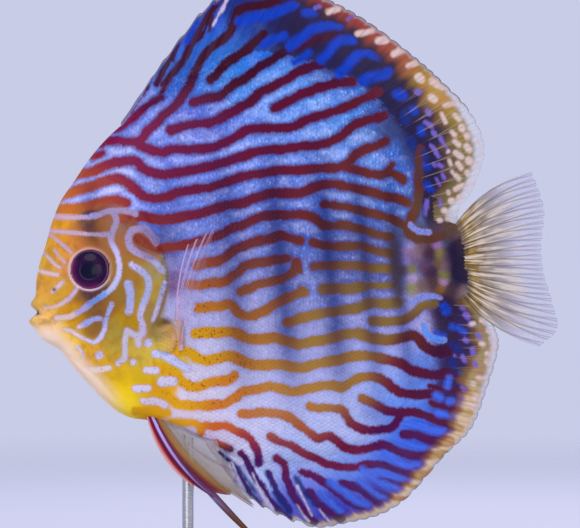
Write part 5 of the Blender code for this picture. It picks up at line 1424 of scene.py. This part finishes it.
def tail_finish():
    finish = Finish("tail_fin", Specular_IOR_Level=0.1)
    ray = finish.read("ray")
    out = finish.read("out")
    grain = finish.noise(finish.place(), 1500.0, 2.0)
    streak = finish.noise(finish.add("ShaderNodeCombineXYZ", {}, {0: ray * 2.2, 1: out * 2.6}), 1.0, 2.0)
    blots = finish.noise(finish.place(), 420.0, 2.0).step(0.42, 0.62) * (1.0 - out.step(0.22, 0.45))
    gold = finish.mix(out.step(0.06, 0.36), rgba(160, 128, 48), rgba(148, 137, 132))
    gold = finish.mix(blots * 0.7, gold, rgba(112, 86, 34))
    colour = finish.mix(out.step(0.3, 0.85), gold, rgba(190, 188, 214))
    colour = finish.mix(streak.step(0.44, 0.62) * (1.0 - out.step(0.55, 1.0)) * 0.8, colour, rgba(222, 208, 192))
    ray_far = ((ray + 0.5).maths("FRACT") - 0.5).maths("ABSOLUTE")
    fork = (ray_far - out.step(0.3, 0.95) * 0.24).maths("ABSOLUTE")
    fork = (fork - out.step(0.6, 1.2) * 0.13).maths("ABSOLUTE")
    line = 1.0 - (fork / (0.11 - out * 0.06)).step(0.35, 1.0)
    colour = finish.mix(line * (0.9 - out * 0.55), colour, finish.mix(out.step(0.2, 0.6), rgba(96, 74, 40), rgba(104, 100, 108)))
    dark = finish.read("root_dark")
    colour = finish.mix(dark, colour, rgba(50, 36, 48))
    bump = finish.add("ShaderNodeBump", {}, {"Height": line, "Strength": 0.6, "Distance": 0.00015})
    alpha = 0.95 - out.step(0.2, 0.9) * 0.62 + line * 0.25 - out.step(0.93, 1.0) * 0.1
    return finish.feed(
        Base_Color=colour, Roughness=0.32 + grain * 0.2, Alpha=alpha.maths("MINIMUM", 1.0), Normal=bump
    )


tail_guide = Curve([tip[0] for tip in TAIL_TIPS], [tip[1:] for tip in TAIL_TIPS])


def tail_spot(across, out, side, crest):
    angle = 351.6 + (369.4 - 351.6) * across
    root_x, root_z = edge_point(angle, -1.2)
    tip_x, tip_z = tail_guide(angle).T
    length = np.hypot(tip_x - root_x, tip_z - root_z)
    reach = out * (1.0 - 0.02 * (1.0 - crest**0.7) - 0.012 * np.abs(np.sin(9.0 * across * TAIL_RAYS)))
    aside = (TAIL_BOW[1] * across - TAIL_BOW[0] * (1.0 - across)) * 4.0 * reach * (1.0 - reach) / length
    x = root_x + (tip_x - root_x) * reach - (tip_z - root_z) * aside
    z = root_z + (tip_z - root_z) * reach + (tip_x - root_x) * aside
    flesh = np.exp(-np.maximum(out * length - 1.2, 0.0) / 3.4)
    half = 0.19 - 0.08 * out + 0.2 * crest**8 * (1.0 - out)
    half = half + (SECTION(angle % TURN)[..., 0] - 0.15 - half) * flesh
    return np.stack((x, sway(x, z) + side * half, z), axis=1)


def tail_values(across, out, side, co):
    root_dark = (1.0 - smooth(out, 0.06, 0.13)) * smooth(np.abs(across - 0.5), 0.0, 0.1)
    return {"root_dark": root_dark * 0.6}


web("tail_web", tail_finish(), ["tail_fin"], TAIL_RAYS, 10, 60, tail_spot, tail_values)

# The pelvic and pectoral fins come in pairs. A pelvic fin is a red spine and long filaments under the
# throat; a pectoral fin is a clear fan that opens from a fleshy lobe behind the gill cover.
PELVIC_GUIDES = (
    (-40.9, 44.6, -29.3, 27.0, 6.5), (-40.6, 44.5, -25.8, 25.0, 7.2), (-40.2, 44.4, -22.6, 23.2, 8.0),
    (-39.8, 44.3, -20.8, 22.3, 8.6), (-39.4, 44.2, -8.9, 9.5, 9.0), (-39.0, 44.1, -20.2, 23.0, 8.8),
    (-38.5, 44.0, -18.6, 24.0, 8.6), (-37.9, 44.0, -14.8, 22.6, 8.5), (-37.2, 43.9, -11.2, 20.3, 8.4),
    (-36.4, 43.9, -14.2, 26.0, 8.0), (-35.4, 43.9, -16.6, 30.6, 7.0), (-34.2, 43.9, -19.0, 35.2, 5.6),
    (-33.0, 44.0, -21.8, 39.4, 4.0),
)
PELVIC_ROOT_Y = 2.7
PECTORAL_GUIDES = (
    (-33.2, 71.6, -29.6, 94.6, 16.0), (-32.6, 69.8, -22.0, 99.1, 22.5), (-32.2, 67.6, -23.9, 92.0, 27.0),
    (-32.0, 65.4, -27.3, 77.5, 26.0),
)
PELVIC_BANDS = (  # place across the fin, colour, how solid
    (0.0, (230, 186, 184), 1.0), (0.04, (214, 132, 130), 1.0), (0.08, (170, 56, 74), 1.0),
    (0.12, (100, 14, 44), 1.0), (0.2, (96, 18, 52), 1.0), (0.23, (150, 110, 170), 1.0),
    (0.26, (174, 158, 230), 1.0), (0.37, (170, 152, 226), 1.0), (0.41, (110, 50, 92), 1.0),
    (0.44, (92, 20, 48), 1.0), (0.49, (122, 52, 48), 1.0), (0.53, (150, 104, 52), 0.95), (0.6, (156, 118, 70), 0.8),
    (0.68, (160, 138, 112), 0.55), (0.8, (168, 156, 150), 0.4), (1.0, (176, 168, 176), 0.35),
)


def banded_finish(name, ray_tint, line_share):
    """A membrane whose colour is stored across it, with its rays."""
    finish = Finish(name, Specular_IOR_Level=0.12)
    ray = finish.read("ray")
    out = finish.read("out")
    streak = finish.noise(finish.add("ShaderNodeCombineXYZ", {}, {0: ray * 4.0, 1: out * 4.0}), 1.0, 2.0)
    line = 1.0 - (((ray + 0.5).maths("FRACT") - 0.5).maths("ABSOLUTE") / 0.09).step(0.3, 1.0)
    line = line * finish.read("lined")
    colour = finish.lit(finish.colour("ground"), 0.6 + streak * 0.8)
    colour = finish.mix(line * line_share, colour, ray_tint)
    bump = finish.add("ShaderNodeBump", {}, {"Height": line + streak, "Strength": 0.5, "Distance": 0.0001})
    alpha = finish.read("body") + line * line_share * 0.5
    return finish.feed(
        Base_Color=colour, Roughness=0.3 + streak * 0.15, Alpha=alpha.maths("MINIMUM", 1.0), Normal=bump
    )


def paired_fin(name, finish, replaced, guides, rays, per_ray, rows, hand, root_y, sink, bend, notch,
               root_half, values):
    """A pectoral or pelvic fin; hand is -1 for the left, root_y its root's distance from the middle."""
    keys = [i / (len(guides) - 1) for i in range(len(guides))]
    guide = Curve(keys, guides, tight=True)
    fan = np.array(guides[-1]) - np.array(guides[0])
    spread = np.array((fan[0] + fan[2], fan[4], fan[1] + fan[3]))

    def spot(across, out, side, crest):
        root_x, root_z, tip_x, tip_z, tip_y = guide(across).T
        root = np.stack((root_x, np.full(len(across), root_y), root_z), axis=1) + np.array(sink)
        tip = np.stack((tip_x, tip_y, tip_z), axis=1)
        middle = (root + tip) / 2 + np.array(bend)
        reach = (out * (1.0 - notch * (1.0 - crest)))[:, None]
        point = root * (1 - reach) ** 2 + middle * 2 * reach * (1 - reach) + tip * reach**2
        way = tip - root
        face = np.cross(way, spread)
        face /= np.linalg.norm(face, axis=1)[:, None]
        half = 0.2 - 0.08 * out + root_half * (1.0 - out) ** 5 + 0.16 * crest**6 * (1.0 - out)
        point = point + face * (side * half)[:, None]
        point[:, 1] *= hand
        return point

    return web(name, finish, replaced, rays, per_ray, rows, spot, values)


def pelvic_values(across, out, side, co):
    band = Curve([row[0] for row in PELVIC_BANDS], [(*row[1], row[2]) for row in PELVIC_BANDS], tight=True)
    found = band(across)
    far = (1.0 - smooth(co[:, 2], 17.0, 26.0))[:, None]
    tint = linear(np.clip(found[:, :3], 0, 255)) * (1.0 - far) + linear((128, 84, 62)) * far
    return {"ground": tint, "body": found[:, 3] * (1.0 - 0.25 * out), "lined": np.ones(len(out))}


def pectoral_values(across, out, side, co):
    root = (1.0 - smooth(out, 0.07, 0.17))[:, None]
    lined = 1.0 - 0.85 * smooth(across, 0.45, 0.62) * (1.0 - smooth(across, 0.9, 0.97))
    tint = linear((206, 172, 206)) * (1.0 - root) + linear((212, 166, 96)) * root
    return {"ground": tint, "body": 0.04 + 0.86 * root[:, 0], "lined": lined}


PELVIC = banded_finish("pelvic_fin", rgba(88, 40, 70), 0.35)
PECTORAL = banded_finish("pectoral_fin", rgba(236, 196, 222), 0.95)
pectoral_root = float(surface_half(np.array([-32.4]), np.array([68.4]))[0])
for hand, word in ((-1, "left"), (1, "right")):
    paired_fin(f"pelvic_web_{word}", PELVIC, [f"pelvic_fin_{word}"], PELVIC_GUIDES, 7, 12, 40, hand,
               PELVIC_ROOT_Y, (-1.0, 0.0, 3.0), (-3.6, 0.0, -3.4), 0.1, 0.5, pelvic_values)
    paired_fin(f"pectoral_web_{word}", PECTORAL, [f"pectoral_fin_{word}"], PECTORAL_GUIDES, 12, 10,
               40, hand, pectoral_root, (0.4, -1.0, -1.0), (-2.4, 3.5, 0.6), 0.03, 0.5, pectoral_values)

# The display stand is a flat painted metal base with rounded corners and one brushed steel rod that
# ends against the belly, held by a collar screwed down on the base.
ROD_X = -29.9
ROD_RADIUS = 1.6
BASE_HEIGHT = 5.0
COLLAR = ((1.75, 5.05), (4.4, 5.05), (4.6, 5.3), (4.6, 7.2), (4.2, 7.7), (2.6, 7.9), (2.1, 8.4), (1.75, 8.4))


def paint_finish():
    finish = Finish("stand_paint")
    orange_peel = finish.noise(finish.place(), 700.0, 2.0)
    dust = finish.noise(finish.place(), 90.0, 4.0)
    colour = finish.mix((dust - 0.45) * 0.5, rgba(44, 44, 48), rgba(72, 72, 76))
    bump = finish.add("ShaderNodeBump", {}, {"Height": orange_peel, "Strength": 0.2, "Distance": 0.0001})
    return finish.feed(Base_Color=colour, Roughness=0.34 + dust * 0.2, Normal=bump)


def steel_finish():
    finish = Finish("stand_steel", Metallic=1.0)
    brush = finish.noise(finish.place((1.0, 1.0, 14.0)), 420.0, 3.0)
    colour = finish.mix(brush, rgba(150, 152, 156), rgba(206, 207, 210))
    bump = finish.add("ShaderNodeBump", {}, {"Height": brush, "Strength": 0.15, "Distance": 0.00005})
    return finish.feed(Base_Color=colour, Roughness=0.2 + brush * 0.18, Normal=bump)


STEEL = steel_finish()
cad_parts["stand_base"].material_slots[0].material = paint_finish()
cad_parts["stand_rod"].material_slots[0].material = STEEL
bm = bmesh.new()
verts = [bm.verts.new((radius, 0.0, height)) for radius, height in COLLAR]
edges = [bm.edges.new(pair) for pair in zip(verts, verts[1:] + verts[:1])]
bmesh.ops.spin(bm, geom=verts + edges, cent=(0, 0, 0), axis=(0, 0, 1), angle=math.tau, steps=48, use_merge=True)
bmesh.ops.remove_doubles(bm, verts=bm.verts, dist=0.0005)
bmesh.ops.recalc_face_normals(bm, faces=bm.faces)
bmesh.ops.translate(bm, vec=(ROD_X, 0.0, 0.0), verts=bm.verts)
collar = made(bm, "stand_collar", STEEL)
collar.data.set_sharp_from_angle(angle=math.radians(35))

# The floor and light of a plain studio: a pale floor that fades into a pale room, a broad soft light
# over the camera's left shoulder, a weaker one at the right and one behind.
PALE_ROOM = (200, 204, 230)
FLOOR_RADIUS = 6.0


def floor_finish():
    finish = Finish("studio_floor", Roughness=0.55)
    far = finish.add("ShaderNodeVectorMath", {"operation": "LENGTH"}, {0: finish.place()}, "Value")
    cloud = finish.noise(finish.place(), 6.0, 2.0)
    colour = finish.mix(cloud, rgba(200, 202, 222), rgba(208, 209, 224))
    return finish.feed(Base_Color=colour, Alpha=1.0 - far.step(0.3, 1.6))


bm = bmesh.new()
bmesh.ops.create_circle(bm, cap_ends=True, segments=96, radius=FLOOR_RADIUS)
mesh = bpy.data.meshes.new("studio_floor")
bm.to_mesh(mesh)
bm.free()
floor = bpy.data.objects.new("studio_floor", mesh)
bpy.context.collection.objects.link(floor)
mesh.materials.append(floor_finish())

room = bpy.data.worlds.new("studio_room")
bpy.context.scene.world = room
room.use_nodes = True
room.node_tree.nodes["Background"].inputs["Color"].default_value = rgba(*PALE_ROOM)
room.node_tree.nodes["Background"].inputs["Strength"].default_value = 1.0
for name, place, size, power, tone in (
    ("key_light", (-0.45, -0.75, 0.75), 0.6, 4.2, (1.0, 0.93, 0.78)),
    ("low_light", (-0.15, -0.9, 0.1), 0.5, 2.4, (1.0, 0.95, 0.84)),
    ("fill_light", (0.7, -0.6, 0.25), 0.7, 1.2, (1.0, 0.95, 0.84)),
    ("back_light", (0.15, 0.7, 0.7), 0.6, 2.8, (1.0, 0.97, 0.92)),
):
    light = bpy.data.lights.new(name, "AREA")
    light.shape = "DISK"
    light.size = size
    light.energy = power
    light.color = tone
    lamp = bpy.data.objects.new(name, light)
    bpy.context.collection.objects.link(lamp)
    lamp.location = place
    lamp.visible_camera = False
    aim = Vector((0.0, 0.0, 0.09)) - Vector(place)
    lamp.rotation_mode = "QUATERNION"
    lamp.rotation_quaternion = aim.to_track_quat("-Z", "Y")

# The camera stands level with the middle of the fish, square to its left flank.
VIEW_WIDTH = 0.16446
LENS = 400.0
SENSOR = 36.0
view = bpy.data.cameras.new("camera")
view.lens = LENS
view.sensor_width = SENSOR
view.sensor_fit = "AUTO"
view.clip_start = 0.01
view.clip_end = 50.0
camera = bpy.data.objects.new("camera", view)
bpy.context.collection.objects.link(camera)
camera.location = (-0.00096, -VIEW_WIDTH * LENS / SENSOR, 0.0891)
camera.rotation_euler = (math.pi / 2, 0.0, 0.0)
bpy.context.scene.camera = camera
bpy.context.scene.view_settings.view_transform = "Standard"
